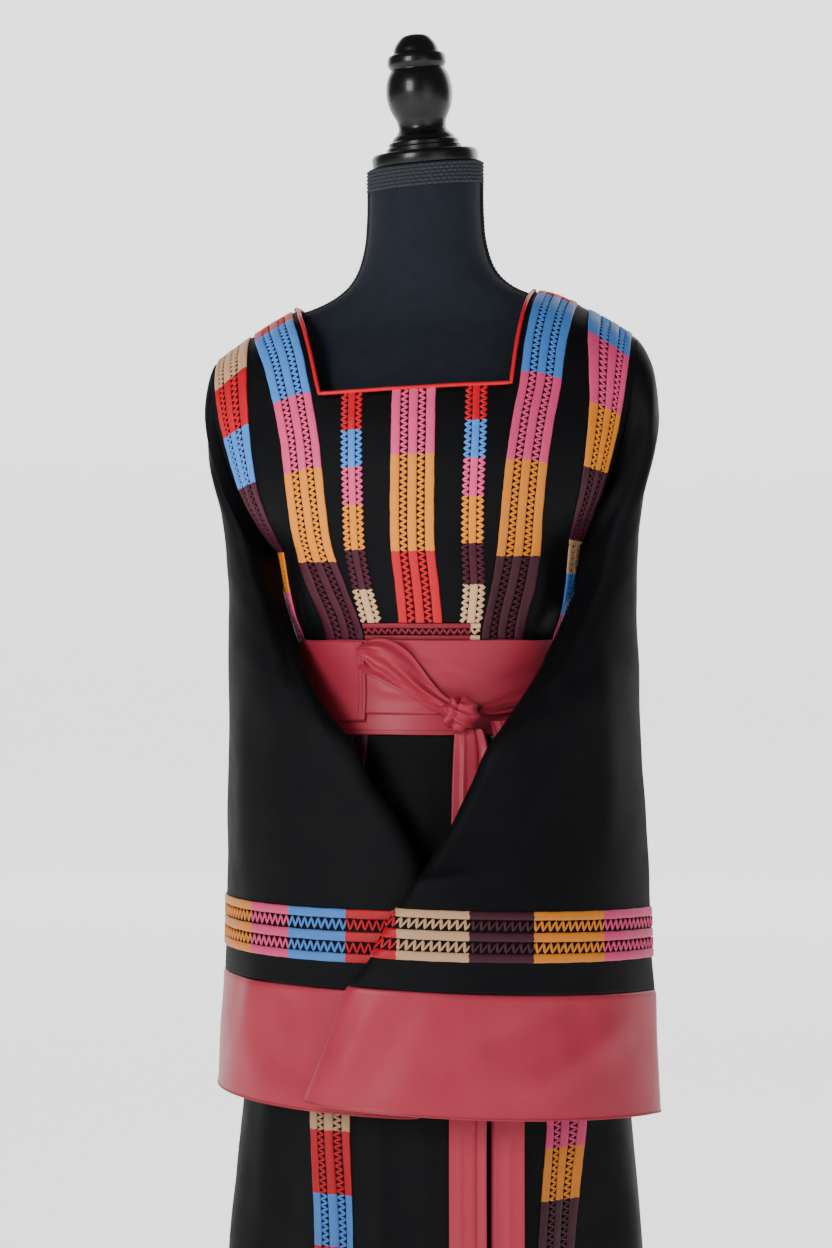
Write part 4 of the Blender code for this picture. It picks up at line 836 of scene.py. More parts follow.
def lay_grid(bm, rows, columns, place, closed=False, keep=None):
    """Adds a flat grid and lays it where place(row, column) says, which also gives its cloth coordinates."""
    cloth = bm.loops.layers.uv.verify()
    made = bmesh.ops.create_grid(bm, x_segments=columns - 1, y_segments=rows - 1, size=0.5)["verts"]
    flat = np.array([v.co.xy for v in made])
    column = np.rint((flat[:, 0] + 0.5) * (columns - 1)).astype(int)
    row = np.rint((flat[:, 1] + 0.5) * (rows - 1)).astype(int)
    spots, marks = place(row, column)
    for v, spot, mark in zip(made, spots, marks):
        v.co = spot
        for loop in v.link_loops:
            loop[cloth].uv = mark
    if keep is not None:
        cell = {v: (r, c) for v, r, c in zip(made, row, column)}
        faces = {f for v in made for f in v.link_faces}
        gone = [
            f
            for f in faces
            if not keep(min(cell[v][0] for v in f.verts), min(cell[v][1] for v in f.verts))
        ]
        bmesh.ops.delete(bm, geom=gone, context="FACES")
    if closed:
        first = {r: v for v, r, c in zip(made, row, column) if c == 0}
        last = {v: first[r] for v, r, c in zip(made, row, column) if c == columns - 1}
        bmesh.ops.weld_verts(bm, targetmap=last)


def face_out(bm, centre=None):
    """Turns the faces outward, seen from a centre, or from the middle of a closed or tube-like piece."""
    if centre is None:
        centre = sum((v.co for v in bm.verts), Vector()) / len(bm.verts)
    total = 0.0
    for face in bm.faces:
        total += face.normal.dot(face.calc_center_median() - Vector(centre)) * face.calc_area()
    if total < 0:
        bmesh.ops.reverse_faces(bm, faces=bm.faces[:])


def finish_piece(name, bm, material, stands_for, wall=0.0, sharp=50.0):
    """Makes an object of the piece, with its finish, its ride and the solids that it stands for."""
    mesh = bpy.data.meshes.new(name)
    bm.to_mesh(mesh)
    bm.free()
    mesh.materials.append(material)
    mesh.shade_smooth()
    mesh.set_sharp_from_angle(angle=math.radians(sharp))
    piece = bpy.data.objects.new(name, mesh)
    bpy.context.scene.collection.objects.link(piece)
    if wall:
        shell = piece.modifiers.new("wall", "SOLIDIFY")
        shell.thickness = wall
        shell.offset = -1.0
    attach(piece, "root")
    if stands_for:
        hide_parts(*stands_for)
    return piece


def between(table, parts):
    """Columns of a table with parts[n] steps between its nth column and the next."""
    stretches = [
        table[:, n : n + 1] + (table[:, n + 1 : n + 2] - table[:, n : n + 1]) * (np.arange(k) / k)
        for n, k in enumerate(parts)
    ]
    return np.concatenate([*stretches, table[:, -1:]], axis=1)


def walked(spots):
    """How far along a line of spots each lies."""
    steps = np.linalg.norm(np.diff(spots, axis=0), axis=-1)
    return np.concatenate([[0.0], np.cumsum(steps)])


class Patch:
    """A strip of finished cloth that flat pieces are laid on: u runs across it and v along it, in metres."""

    def __init__(self, place, across):
        self.across = np.asarray(across)
        self.spots = place(0.0)
        self.normals = (place(0.001) - self.spots) / 0.001
        self.centre = self.spots[:, self.spots.shape[1] // 2]
        self.along = walked(self.centre)
        self.length = self.along[-1]
        self.lean = np.zeros(len(self.along))

    def square_up(self):
        """Makes the marks of the cloth run upright on the front view, away from the folds."""
        across = (self.spots[:, -1, 0] - self.spots[:, 0, 0]) / (self.across[-1] - self.across[0])
        along = np.gradient(self.centre[:, 0], self.along)
        clear = np.abs(along) > 0.7
        fold = self.along[len(self.along) // 2]
        before = clear & (self.along < fold)
        held = (across / along)[before][-1]
        after = clear & (self.along > fold + 0.015)
        marks = np.concatenate([self.along[before], [fold + 0.014], self.along[after]])
        leans = (across / np.where(clear, along, 1.0))[after]
        self.lean = np.interp(self.along, marks, np.concatenate([(across / along)[before], [held], leans]))

    def mark(self, u, v):
        return np.stack([u, v + u * np.interp(v, self.along, self.lean)], -1)

    def put(self, u, v, h):
        i, s = self.find(self.along, v)
        j, t = self.find(self.across, u)
        weights = ((0, 0, (1 - s) * (1 - t)), (0, 1, (1 - s) * t), (1, 0, s * (1 - t)), (1, 1, s * t))
        spot = sum(w[..., None] * self.spots[i + a, j + b] for a, b, w in weights)
        normal = sum(w[..., None] * self.normals[i + a, j + b] for a, b, w in weights)
        return spot + np.asarray(h)[..., None] * normal

    @staticmethod
    def find(marks, value):
        low = np.clip(np.searchsorted(marks, value) - 1, 0, len(marks) - 2)
        return low, (value - marks[low]) / (marks[low + 1] - marks[low])


BAND_EDGE = (
    (-1.0, 0.0),
    (-0.97, 0.55),
    (-0.80, 0.88),
    (-0.35, 1.0),
    (0.35, 1.0),
    (0.80, 0.88),
    (0.97, 0.55),
    (1.0, 0.0),
)


def lay_band(bm, patch, u, half, start, end, lift, dome, grain=0.006):
    """A satin band: flat below, softly domed above, with edges that waver a little."""
    rows = max(2, math.ceil((end - start) / grain) + 1)
    edge = np.array(BAND_EDGE)

    def place(i, j):
        share = edge[j % len(edge)]
        v = start + (end - start) * i / (rows - 1)
        waver = 1.0 + 0.03 * np.sin(v * 190.0 + u * 800.0) + 0.02 * np.sin(v * 470.0)
        across = u + half * share[:, 0] * waver
        puff = 1.0 + 0.10 * np.sin(v * 260.0 + u * 500.0)
        return patch.put(across, v, lift + dome * share[:, 1] * puff), patch.mark(across, v)

    lay_grid(bm, rows, len(edge) + 1, place, closed=True)


def lay_zigzag(bm, patch, u, reach, start, end, pitch, thick, height, lift, phase=0.0):
    """A zigzag of lace thread, laid flat: its points reach to both sides of u."""
    steps, sides = 8, 6
    repeats = max(1, round((end - start) / pitch))
    rows = repeats * steps + 1

    def wave(p):
        return np.arcsin(0.96 * np.sin(2 * math.pi * (p + phase))) / math.asin(0.96)

    def place(i, j):
        p = i / steps
        v = start + (end - start) * p / repeats
        slope = reach * (wave(p + 0.01) - wave(p - 0.01)) / (0.02 * pitch)
        lean = 1.0 / np.sqrt(1.0 + slope**2)
        turn = 2 * math.pi * (j % sides) / sides
        across = u + reach * wave(p) + thick * np.cos(turn) * lean
        along = v - thick * np.cos(turn) * slope * lean
        h = lift + height * (0.5 + 0.5 * np.sin(turn))
        return patch.put(across, np.clip(along, start, end), h), patch.mark(across, along)

    lay_grid(bm, rows, sides + 1, place, closed=True)


def close_ends(bm):
    bmesh.ops.holes_fill(bm, edges=[e for e in bm.edges if e.is_boundary], sides=0)


def block_stops(patch, blocks, axis):
    """Each block's colour and the share of the stripe where it ends."""
    run = patch.centre[:, axis]
    way = np.sign(run[len(run) // 4] - run[0])
    stops, reached = [], 0
    for block in blocks:
        passed = np.nonzero((run[reached:] - block.until) * way >= 0)[0]
        reached = min(len(run) - 1, reached + passed[0]) if len(passed) else len(run) - 1
        stops.append((block.colour, patch.along[reached] / patch.length, block.tone))
        if reached == len(run) - 1:
            break
    return stops


def lay_wide_stripe(bm, patch, half, pitch, start, end):
    """Three satin bands with two runs of lace between them."""
    part = 2 * half / 5
    dome = sizes().band_dome
    for n in (-2, 0, 2):
        lay_band(bm, patch, n * part, part * 0.53, start, end, 0.0004, dome)
    for n in (-1, 1):
        lay_zigzag(
            bm,
            patch,
            n * part,
            part * 0.34,
            start,
            end,
            pitch,
            sizes().lace_thread,
            0.0016,
            0.0003,
            0.25 * (n + 1),
        )


def lay_narrow_stripe(bm, patch, half, pitch, start, end):
    """One satin band with a pointed lace edge on each side."""
    part = 2 * half / 3
    lay_band(bm, patch, 0.0, part * 0.50, start, end, 0.0004, sizes().band_dome)
    for n in (-1, 1):
        lay_zigzag(
            bm,
            patch,
            n * part * 0.98,
            part * 0.33,
            start,
            end,
            pitch,
            sizes().lace_thread * 1.12,
            0.0016,
            0.0003,
            0.5 * (n + 1),
        )


def body_patch(kind, hand, side, levels, half):
    """The strip of the panel under a stripe of the body."""
    across = np.linspace(-half * 1.12, half * 1.12, 11)
    grid_level, grid_u = np.meshgrid(levels, across, indexing="ij")
    row = read_rows(BODY, grid_level)
    drift = SHOULDER_DRIFT[hand] * np.clip(1.0 - grid_level / NECK_LEVEL, 0.0, None) if hand else 0.0
    if kind == "outer":
        turn = np.degrees(drift / row.edge_x)
        inner, outer = hand * row.outer_in + turn, hand * row.outer_out + turn / 2
        angle = (inner + outer) / 2 + (outer - inner) / 2 * hand * grid_u / half
        if side < 0:
            angle = 180.0 - angle
    else:
        centre = {"centre": 0.0, "narrow": hand * row.narrow_x, "mid": hand * row.mid_x}[kind]
        shift = row.shift if side > 0 else 0.0
        hole_x, _, _ = sleeve_section(SLEEVE_RIGHT[0], row.hole, 1.0)
        edge_x = np.where(row.hole < 1.0, hole_x, row.edge_x)
        x = centre + shift + drift + grid_u
        angle = np.degrees(np.arcsin(np.clip(x / edge_x, -0.999, 0.999)))
        if side < 0:
            angle = 180.0 - angle
    return Patch(lambda out: body_cloth(grid_level, angle, side, out), across)


def ring_columns(parts):
    """Places of the columns round a sleeve, from the columns in each part of its front half."""
    return np.concatenate([n + np.arange(k) / k for n, k in enumerate(parts * 2)] + [[2.0 * len(parts)]])


def sleeve_patch(rows, hand, levels, half):
    """The strip of the sleeve under its stripe. v runs round the sleeve, u down it."""
    across = np.linspace(-half, half, 9)
    down = (levels[0] + levels[1]) / 2 + across / half * (levels[1] - levels[0]) / 2
    around = ring_columns((2, 3, 5, 12, 12, 12, 12, 5, 3, 2))
    grid_around, grid_level = np.meshgrid(around, down, indexing="ij")
    return Patch(lambda out: sleeve_cloth(rows, hand, grid_level, grid_around, out), across)


# Finishes


class Value:
    """A socket of a finish, so that shader maths reads as arithmetic."""

    def __init__(self, finish, socket):
        self.finish = finish
        self.socket = socket

    def maths(self, operation, *others):
        terms = dict(enumerate((self, *others)))
        return self.finish.node("ShaderNodeMath", {"operation": operation}, terms)

    def __add__(self, other):
        return self.maths("ADD", other)

    def __sub__(self, other):
        return self.maths("SUBTRACT", other)

    def __mul__(self, other):
        return self.maths("MULTIPLY", other)

    def __rsub__(self, other):
        return self.finish.node("ShaderNodeMath", {"operation": "SUBTRACT"}, {0: other, 1: self})

    __radd__ = __add__
    __rmul__ = __mul__


class Finish:
    """A procedural material. What varies over the surface is built from nodes, the rest is set once."""

    def __init__(self, name, **constants):
        self.material = bpy.data.materials.new(name)
        self.material.use_nodes = True
        self.tree = self.material.node_tree
        self.shader = self.tree.nodes["Principled BSDF"]
        for socket, value in constants.items():
            self.shader.inputs[socket.replace("_", " ")].default_value = value

    def node(self, kind, settings=None, sockets=None, output=0):
        node = self.tree.nodes.new(kind)
        for key, value in (settings or {}).items():
            if key == "stops":
                self.set_stops(node.color_ramp, value)
            else:
                setattr(node, key, value)
        for key, value in (sockets or {}).items():
            self.feed(node.inputs[key], value)
        return Value(self, node.outputs[output])

    def set_stops(self, ramp, stops):
        ramp.interpolation = "CONSTANT"
        while len(ramp.elements) > 1:
            ramp.elements.remove(ramp.elements[-1])
        ramp.elements[0].position = 0.0
        ramp.elements[0].color = (*stops[0][1], 1.0)
        for position, colour in stops[1:]:
            element = ramp.elements.new(position)
            element.color = (*colour, 1.0)

    def feed(self, target, value):
        if isinstance(value, Value):
            self.tree.links.new(value.socket, target)
        else:
            target.default_value = value

    def coordinates(self, kind="Object"):
        return self.node("ShaderNodeTexCoord", output=kind)

    def split(self, vector):
        return [self.node("ShaderNodeSeparateXYZ", None, {0: vector}, part) for part in range(3)]

    def join(self, x, y, z):
        return self.node("ShaderNodeCombineXYZ", None, {0: x, 1: y, 2: z})

    def noise(self, vector, scale, detail=2.0, roughness=0.5):
        return self.node(
            "ShaderNodeTexNoise",
            None,
            {"Vector": vector, "Scale": scale, "Detail": detail, "Roughness": roughness},
        )

    def mix(self, factor, first, second, mode="MIX"):
        return self.node(
            "ShaderNodeMix", {"data_type": "RGBA", "blend_type": mode}, {0: factor, 6: first, 7: second}, 2
        )

    def bump(self, height, distance, strength=1.0, normal=None):
        sockets = {"Height": height, "Distance": distance, "Strength": strength}
        if normal:
            sockets["Normal"] = normal
        return self.node("ShaderNodeBump", None, sockets)

    def surface(self, **sockets):
        for socket, value in sockets.items():
            self.feed(self.shader.inputs[socket.replace("_", " ")], value)
        return self.material


def shade(colour, factor):
    return (colour[0] * factor, colour[1] * factor, colour[2] * factor, 1.0)


def crepe_finish(name):
    """Matt black crepe: a pebbled grain, a faint twill line and a little lint."""
    finish = Finish(name, Sheen_Weight=0.005, Sheen_Roughness=0.45, Specular_IOR_Level=0.10)
    spot = finish.coordinates()
    grain = finish.noise(spot, 1500.0, 3.0, 0.7)
    mottle = finish.noise(spot, 34.0, 3.0)
    x, y, _ = finish.split(finish.coordinates("UV"))
    twill = ((x + y) * 4200.0).maths("SINE")
    lint = finish.noise(spot, 420.0, 1.0).maths("SUBTRACT", 0.74).maths("MAXIMUM", 0.0)
    base = finish.mix(mottle, shade(colours().crepe, 0.75), shade(colours().crepe, 1.30))
    base = finish.mix(lint * 0.6, base, (0.05, 0.05, 0.06, 1.0))
    height = grain + twill * 0.10
    return finish.surface(
        Base_Color=base,
        Roughness=0.56 + 0.16 * mottle,
        Normal=finish.bump(height, 0.00035, 0.6),
    )


def satin_finish(name, colour, gloss=0.33):
    """Satin: long glossy floats one way, fine ribs the other, and soft pressed creases, which also darken
    the colour as painted shade.
    """
    finish = Finish(
        name,
        Sheen_Weight=0.05,
        Sheen_Roughness=0.35,
        Sheen_Tint=(1.0, 0.55, 0.55, 1.0),
        Specular_IOR_Level=0.30,
        Specular_Tint=(1.0, 0.58, 0.60, 1.0),
    )
    x, y, _ = finish.split(finish.coordinates("UV"))
    threads = finish.noise(finish.join(x * 90.0, y * 2400.0, 0.0), 1.0, 2.0, 0.6)
    ribs = finish.noise(finish.join(x * 2400.0, y * 160.0, 3.0), 1.0, 1.0)
    pressed_relief_and_shade = finish.noise(finish.coordinates(), 13.0, 2.0, 0.45)
    base = finish.mix(threads, shade(colour, 0.72), shade(colour, 1.22))
    # Painted shade: the colour darkens following the relief of the pressed creases.
    base = finish.mix(pressed_relief_and_shade * 0.35, base, shade(colour, 0.78))
    fine = finish.bump(threads + ribs * 0.5, 0.00012, 0.5)
    return finish.surface(
        Base_Color=base,
        Roughness=gloss + 0.14 * threads,
        Normal=finish.bump(pressed_relief_and_shade, 0.006, 0.40, fine),
    )


def stripe_finish(name, stops, length):
    """Satin bands and lace thread whose colour changes block by block along the stripe."""
    finish = Finish("stripe_" + name, Sheen_Weight=0.03, Sheen_Roughness=0.4, Specular_IOR_Level=0.22)
    palette = {key: tuple(getattr(colours(), key)) for key in STRIPE_COLOURS}
    starts = [0.0] + [share for _, share, _ in stops[:-1]]
    # Each block's colour is scaled by its factor: painted shade on the skirt and on the right side.
    ramp = [
        (start, tuple(tone * part for part in palette[colour]))
        for start, (colour, _, tone) in zip(starts, stops)
    ]
    across, along, _ = finish.split(finish.coordinates("UV"))
    waver = (across * 900.0).maths("SINE") * 0.00035
    block = finish.node("ShaderNodeValToRGB", {"stops": ramp}, {"Fac": (along + waver) * (1.0 / length)})
    threads = finish.noise(finish.join(across * 3200.0, along * 130.0, 0.0), 1.0, 3.0, 0.65)
    wear = finish.noise(finish.join(across * 120.0, along * 60.0, 2.0), 1.0, 3.0, 0.6)
    base = finish.mix(threads * 0.55, block, (0.0, 0.0, 0.0, 1.0))
    base = finish.mix(wear * 0.22, base, (1.0, 0.92, 0.86, 1.0), "SOFT_LIGHT")
    return finish.surface(
        Base_Color=base,
        Roughness=0.36 + 0.22 * threads,
        Normal=finish.bump(threads, 0.00022, 0.7),
    )


def jersey_finish(name="form_jersey", shine=0.12):
    """The form's stretch cover: fine knitted wales with a soft bloom."""
    finish = Finish(name, Sheen_Weight=0.02, Sheen_Roughness=0.5, Specular_IOR_Level=shine)
    spot = finish.coordinates()
    x, y, _ = finish.split(finish.coordinates("UV"))
    wales = (x * 5200.0).maths("SINE") * (y * 4300.0).maths("SINE")
    bloom = finish.noise(spot, 60.0, 4.0, 0.6)
    grain = finish.noise(spot, 1300.0, 2.0)
    base = finish.mix(bloom, shade(colours().jersey, 0.75), shade(colours().jersey, 1.35))
    return finish.surface(
        Base_Color=base, Roughness=0.70 + 0.15 * grain, Normal=finish.bump(wales * 0.5 + grain, 0.0004, 0.6)
    )


def lacquer_finish(name, colour, roughness, scratch):
    """Black lacquer or paint: brushed rings, faint dust, a worn sheen."""
    finish = Finish(name, Coat_Roughness=0.12, Specular_IOR_Level=0.22)
    spot = finish.coordinates()
    x, y, z = finish.split(spot)
    rings = finish.noise(finish.join(x * 14.0, y * 14.0, z * 900.0), 1.0, 2.0)
    dust = finish.noise(spot, 240.0, 5.0, 0.7)
    base = finish.mix(dust * scratch, (*colour, 1.0), (0.11, 0.11, 0.12, 1.0))
    return finish.surface(
        Base_Color=base,
        Roughness=roughness + 0.10 * dust,
        Coat_Weight=0.05 + 0.10 * rings,
        Normal=finish.bump(rings, 0.00012, 0.4),
    )


# The pieces


NECK_COLUMNS = (3, 5)


def panel_columns(levels, side):
    """Angles of a panel's main columns at each level, blended below the neckline's corner."""
    row = read_rows(BODY, levels)
    hole_x, _, _ = sleeve_section(SLEEVE_RIGHT[0], row.hole, 1.0)
    edge_x = np.where(row.hole < 1.0, hole_x, row.edge_x)

    def at(x):
        return np.degrees(np.arcsin(np.clip(x / edge_x, -0.999, 0.999)))

    halves = []
    for hand in (-1, 1):
        drift = SHOULDER_DRIFT[hand] * np.clip(1.0 - levels / NECK_LEVEL, 0.0, None)
        shift = row.shift if side > 0 else 0.0 * levels
        foot = NECK_LEVEL if side > 0 else BACK_NECK_LEVEL
        low = NECK_HALF_BOTTOM if side > 0 else NECK_HALF_BACK
        neck = hand * (NECK_HALF_TOP + (low - NECK_HALF_TOP) * np.clip(levels / foot, 0.0, 1.0)) + drift
        below = np.clip(levels - foot, 0.0, 1.0)
        neck = neck + (hand * 0.075 + shift - neck) * below
        mid = hand * row.mid_x + shift + drift
        turn = np.degrees(drift / row.edge_x)
        outer = hand * row.outer_in + turn
        seam = np.full(levels.shape, hand * 89.92)
        halves.append([at(neck), at(mid), outer, seam])
    centre = (halves[0][0] + halves[1][0]) / 2
    angles = np.stack([*halves[0][::-1], centre, *halves[1]], axis=1)
    return angles if side > 0 else 180.0 - angles


def fine_levels(start, end, step):
    """Levels about a step apart in height, with every whole level among them."""
    levels = [start]
    while levels[-1] < end - 1e-9:
        low = math.floor(levels[-1] + 1e-9)
        high = min(low + 1.0, end)
        drop = abs(BODY[low].height - BODY[low + 1].height) * (high - levels[-1])
        count = max(2, math.ceil(drop / step))
        levels += list(np.linspace(levels[-1], high, count + 1)[1:])
    return np.array(levels)


def make_panel(name, side, material):
    levels = fine_levels(0.0, HEM_LEVEL, 0.0075)
    parts = (14, 10, 9, 20, 20, 9, 10, 14)
    angles = between(panel_columns(levels, side), parts)
    foot = NECK_LEVEL if side > 0 else BACK_NECK_LEVEL
    neck_rows = int(np.sum(levels < foot - 1e-6))
    neck_from, neck_to = sum(parts[:3]), sum(parts[:5])
    hem_turn = 0.0007 * smooth_step(levels, HEM_LEVEL - 0.13, HEM_LEVEL - 0.115)
    spots = body_cloth(levels[:, None], angles, side, hem_turn[:, None])
    spots[0, :, 1] = -side * SEAM_GAP
    widths = np.linspace(-0.3, 0.3, angles.shape[1])
    down = walked(spots[:, angles.shape[1] // 4])

    def place(i, j):
        return spots[i, j], np.stack([widths[j], down[i]], -1)

    def keep(row, column):
        return row >= neck_rows or not neck_from <= column < neck_to

    bm = bmesh.new()
    lay_grid(bm, len(levels), angles.shape[1], place, keep=keep)
    bm.normal_update()
    face_out(bm, (0.0, 0.0, 0.8))
    return finish_piece(name, bm, material, (name.replace("dress_", ""),), sizes().crepe_wall)


def make_sleeve(side_name, rows, hand, material):
    around = ring_columns((2, 3, 4, 9, 9, 9, 9, 4, 3, 2))
    levels = np.linspace(0.0, CUFF_LEVEL - 0.004, 150)
    spots = sleeve_cloth(rows, hand, levels[:, None], around[None, :])
    down = walked(spots[:, len(around) // 4])
    turn = walked(spots[75])

    def place(i, j):
        return spots[i, j], np.stack([turn[j], down[i]], -1)

    bm = bmesh.new()
    lay_grid(bm, len(levels), len(around), place, closed=True)
    bm.normal_update()
    face_out(bm)
    stands_for = (f"sleeve_{side_name}",)
    return finish_piece(
        f"sleeve_cloth_{side_name}", bm, material, stands_for, sizes().crepe_wall
    )


def make_cuff(side_name, rows, hand, material):
    """A satin cuff: a turned hem below and a seam above."""
    around = ring_columns((3, 3, 5, 12, 12, 12, 12, 5, 3, 3))
    levels = np.linspace(CUFF_LEVEL + 0.004, SLEEVE_FOOT_LEVEL, 44)
    share = (levels - levels[0]) / (levels[-1] - levels[0])
    puff = 0.0010 * smooth_step(share, 0.0, 0.05) + 0.0004
    puff = puff + 0.0006 * np.exp(-(((share - 0.965) / 0.02) ** 2)) - 0.0006 * smooth_step(share, 0.975, 1.0)
    base = sleeve_surface(rows, hand, levels[:, None], around[None, :])
    drag = crease_lift(CUFF_CREASES, base)
    spots = sleeve_cloth(rows, hand, levels[:, None], around[None, :], puff[:, None] + drag)
    down, turn = walked(spots[:, 30]), walked(spots[20])

    def place(i, j):
        return spots[i, j], np.stack([turn[j], down[i]], -1)

    bm = bmesh.new()
    lay_grid(bm, len(levels), len(around), place, closed=True)
    bm.normal_update()
    face_out(bm)
    return finish_piece(
        f"cuff_satin_{side_name}", bm, material, (f"cuff_{side_name}",), 0.0016
    )


def make_stripe(name, patch, blocks, axis, stands_for, lay, half, pitch, ends=(0.0, 1.0)):
    stops = block_stops(patch, blocks, axis)
    bm = bmesh.new()
    lay(bm, patch, half, pitch, patch.length * ends[0], patch.length * ends[1])
    close_ends(bm)
    bmesh.ops.recalc_face_normals(bm, faces=bm.faces[:])
    material = stripe_finish(name, stops, patch.length)
    return finish_piece("stripe_" + name, bm, material, stands_for, sharp=80.0)


class ThobeOperator(bpy.types.Operator):
    bl_options = {"REGISTER", "UNDO"}


class THOBE_OT_panels(ThobeOperator):
    """Drape the front and back panels of black crepe over the form"""

    bl_idname = "thobe.panels"
    bl_label = "Front and back"

    def execute(self, context):
        material = crepe_finish("body_crepe")
        for name, side in (("dress_front", 1), ("dress_back", -1)):
            make_panel(name, side, material)
        return {"FINISHED"}


class THOBE_OT_sleeves(ThobeOperator):
    """Hang both wide sleeves, crossed in front"""

    bl_idname = "thobe.sleeves"
    bl_label = "Sleeves"

    def execute(self, context):
        material = crepe_finish("sleeve_crepe")
        for side_name, rows, hand in (("left", SLEEVE_LEFT, -1), ("right", SLEEVE_RIGHT, 1)):
            make_sleeve(side_name, rows, hand, material)
        return {"FINISHED"}


class THOBE_OT_cuffs(ThobeOperator):
    """Sew a rose satin cuff to each sleeve"""

    bl_idname = "thobe.cuffs"
    bl_label = "Cuffs"

    def execute(self, context):
        material = satin_finish("cuff_satin", colours().satin)
        thread = satin_finish("cuff_thread", tuple(0.62 * c for c in colours().satin), 0.45)
        for side_name, rows, hand in (("left", SLEEVE_LEFT, -1), ("right", SLEEVE_RIGHT, 1)):
            make_cuff(side_name, rows, hand, material)
            around = np.linspace(0.0, 2.0 * RING_COUNT, 900)
            level = CUFF_LEVEL + (SLEEVE_FOOT_LEVEL - CUFF_LEVEL) * 0.94
            bm = bmesh.new()
            lay_stitches(bm, lambda out: self.cuff_line(rows, hand, level, around, out), 0.0014)
            close_ends(bm)
            bmesh.ops.recalc_face_normals(bm, faces=bm.faces[:])
            finish_piece(f"stitches_cuff_{side_name}", bm, thread, (), sharp=80.0)
        return {"FINISHED"}

    def cuff_line(self, rows, hand, level, around, out):
        base = sleeve_surface(rows, hand, np.full(around.shape, level), around)
        return sleeve_cloth(rows, hand, level, around, out + crease_lift(CUFF_CREASES, base))


class THOBE_OT_body_stripes(ThobeOperator):
    """Lay the stripes of satin and lace on the front and back panels"""

    bl_idname = "thobe.body_stripes"
    bl_label = "Body stripes"

    def execute(self, context):
        pitch = sizes().lace_pitch
        bodice = np.linspace(NECK_LEVEL + 0.04, WAIST_STRIPE_LEVEL - 0.03, 150)
        full = np.linspace(0.0, HEM_LEVEL - 0.02, 480)
        to_belt = np.linspace(0.0, BELT_TOP_LEVEL + 1.0, 240)
        patch = body_patch("centre", 0, 1, bodice, CENTRE_HALF)
        make_stripe(
            "centre", patch, BLOCKS["centre"], 2, ("trim_centre",), lay_wide_stripe, CENTRE_HALF, pitch
        )
        for side_name, hand in (("left", -1), ("right", 1)):
            key = "narrow_" + side_name
            patch = body_patch("narrow", hand, 1, bodice, NARROW_HALF)
            make_stripe(
                key, patch, BLOCKS[key], 2, ("trim_" + key,), lay_narrow_stripe, NARROW_HALF, pitch
            )
            for prefix, side in (("", 1), ("back_", -1)):
                for kind, levels, half in (("mid", full, MID_HALF), ("outer", to_belt, OUTER_HALF)):
                    key = f"{prefix}{kind}_{side_name}"
                    patch = body_patch(kind, hand, side, levels, half)
                    make_stripe(
                        key, patch, BLOCKS[key], 2, ("trim_" + key,), lay_wide_stripe, half, pitch
                    )
        return {"FINISHED"}


class THOBE_OT_waist_stripe(ThobeOperator):
    """Lay the stripe across the waist, half tucked into the belt"""

    bl_idname = "thobe.waist_stripe"
    bl_label = "Waist stripe"

    def execute(self, context):
        half = WAIST_STRIPE_HALF
        across = np.linspace(-half, half, 7)
        angles = np.linspace(-WAIST_STRIPE_HALF_ANGLE, WAIST_STRIPE_HALF_ANGLE, 60)
        levels = WAIST_STRIPE_LEVEL + (BELT_TOP_LEVEL + 0.1 - WAIST_STRIPE_LEVEL) * (across / half + 1) / 2
        grid_angle, grid_level = np.meshgrid(angles, levels, indexing="ij")
        patch = Patch(lambda out: body_cloth(grid_level, grid_angle, 1, out), across)
        stops = block_stops(patch, BLOCKS["waist"], 0)
        bm = bmesh.new()
        dome = sizes().band_dome
        for u, share in ((-half * 0.68, 0.30), (half * 0.72, 0.28)):
            lay_band(bm, patch, u, half * share, 0.0, patch.length, 0.0008, dome)
        lay_zigzag(
            bm, patch, 0.0, half * 0.30, 0.0, patch.length, 0.0072, sizes().lace_thread, 0.0017, 0.0006
        )
        close_ends(bm)
        bmesh.ops.recalc_face_normals(bm, faces=bm.faces[:])
        material = stripe_finish("waist", stops, patch.length)
        finish_piece("stripe_waist", bm, material, ("trim_waist",), sharp=80.0)
        return {"FINISHED"}


class THOBE_OT_sleeve_stripes(ThobeOperator):
    """Lay a stripe of satin and lace round each sleeve over its cuff"""

    bl_idname = "thobe.sleeve_stripes"
    bl_label = "Sleeve stripes"

    def execute(self, context):
        half = SLEEVE_STRIPE_HALF
        for side_name, rows, hand in (("left", SLEEVE_LEFT, -1), ("right", SLEEVE_RIGHT, 1)):
            key = "sleeve_" + side_name
            patch = sleeve_patch(rows, hand, SLEEVE_STRIPE_LEVELS, half)
            patch.square_up()
            fold = patch.along[len(patch.along) // 2]
            stops = block_stops(patch, BLOCKS[key], 0)
            stops[-1] = (stops[-1][0], (fold + 0.007) / patch.length, SLEEVE_DIMMING)
            while stops[-1][1] < 1.0:
                colour = UNDER_CYCLE[len(stops) % len(UNDER_CYCLE)]
                stops.append((colour, stops[-1][1] + UNDER_BLOCK / patch.length, SLEEVE_DIMMING))
            bm = bmesh.new()
            part = 2 * half / 5
            dome = sizes().band_dome
            for n, share in ((-2.05, 0.47), (0.0, 0.43), (2.02, 0.50)):
                lay_band(bm, patch, n * part, part * share, 0.0, patch.length, 0.0005, dome)
            for n in (-1.05, 0.98):
                lay_zigzag(
                    bm,
                    patch,
                    n * part,
                    part * 0.43,
                    0.0,
                    patch.length,
                    sizes().sleeve_lace_pitch,
                    sizes().lace_thread,
                    0.0017,
                    0.0004,
                )
            bmesh.ops.remove_doubles(bm, verts=bm.verts[:], dist=0.00002)
            close_ends(bm)
            bmesh.ops.recalc_face_normals(bm, faces=bm.faces[:])
            material = stripe_finish(key, stops, patch.length)
            finish_piece(
                "stripe_" + key, bm, material, (f"trim_{key}",), sharp=80.0
            )
        return {"FINISHED"}


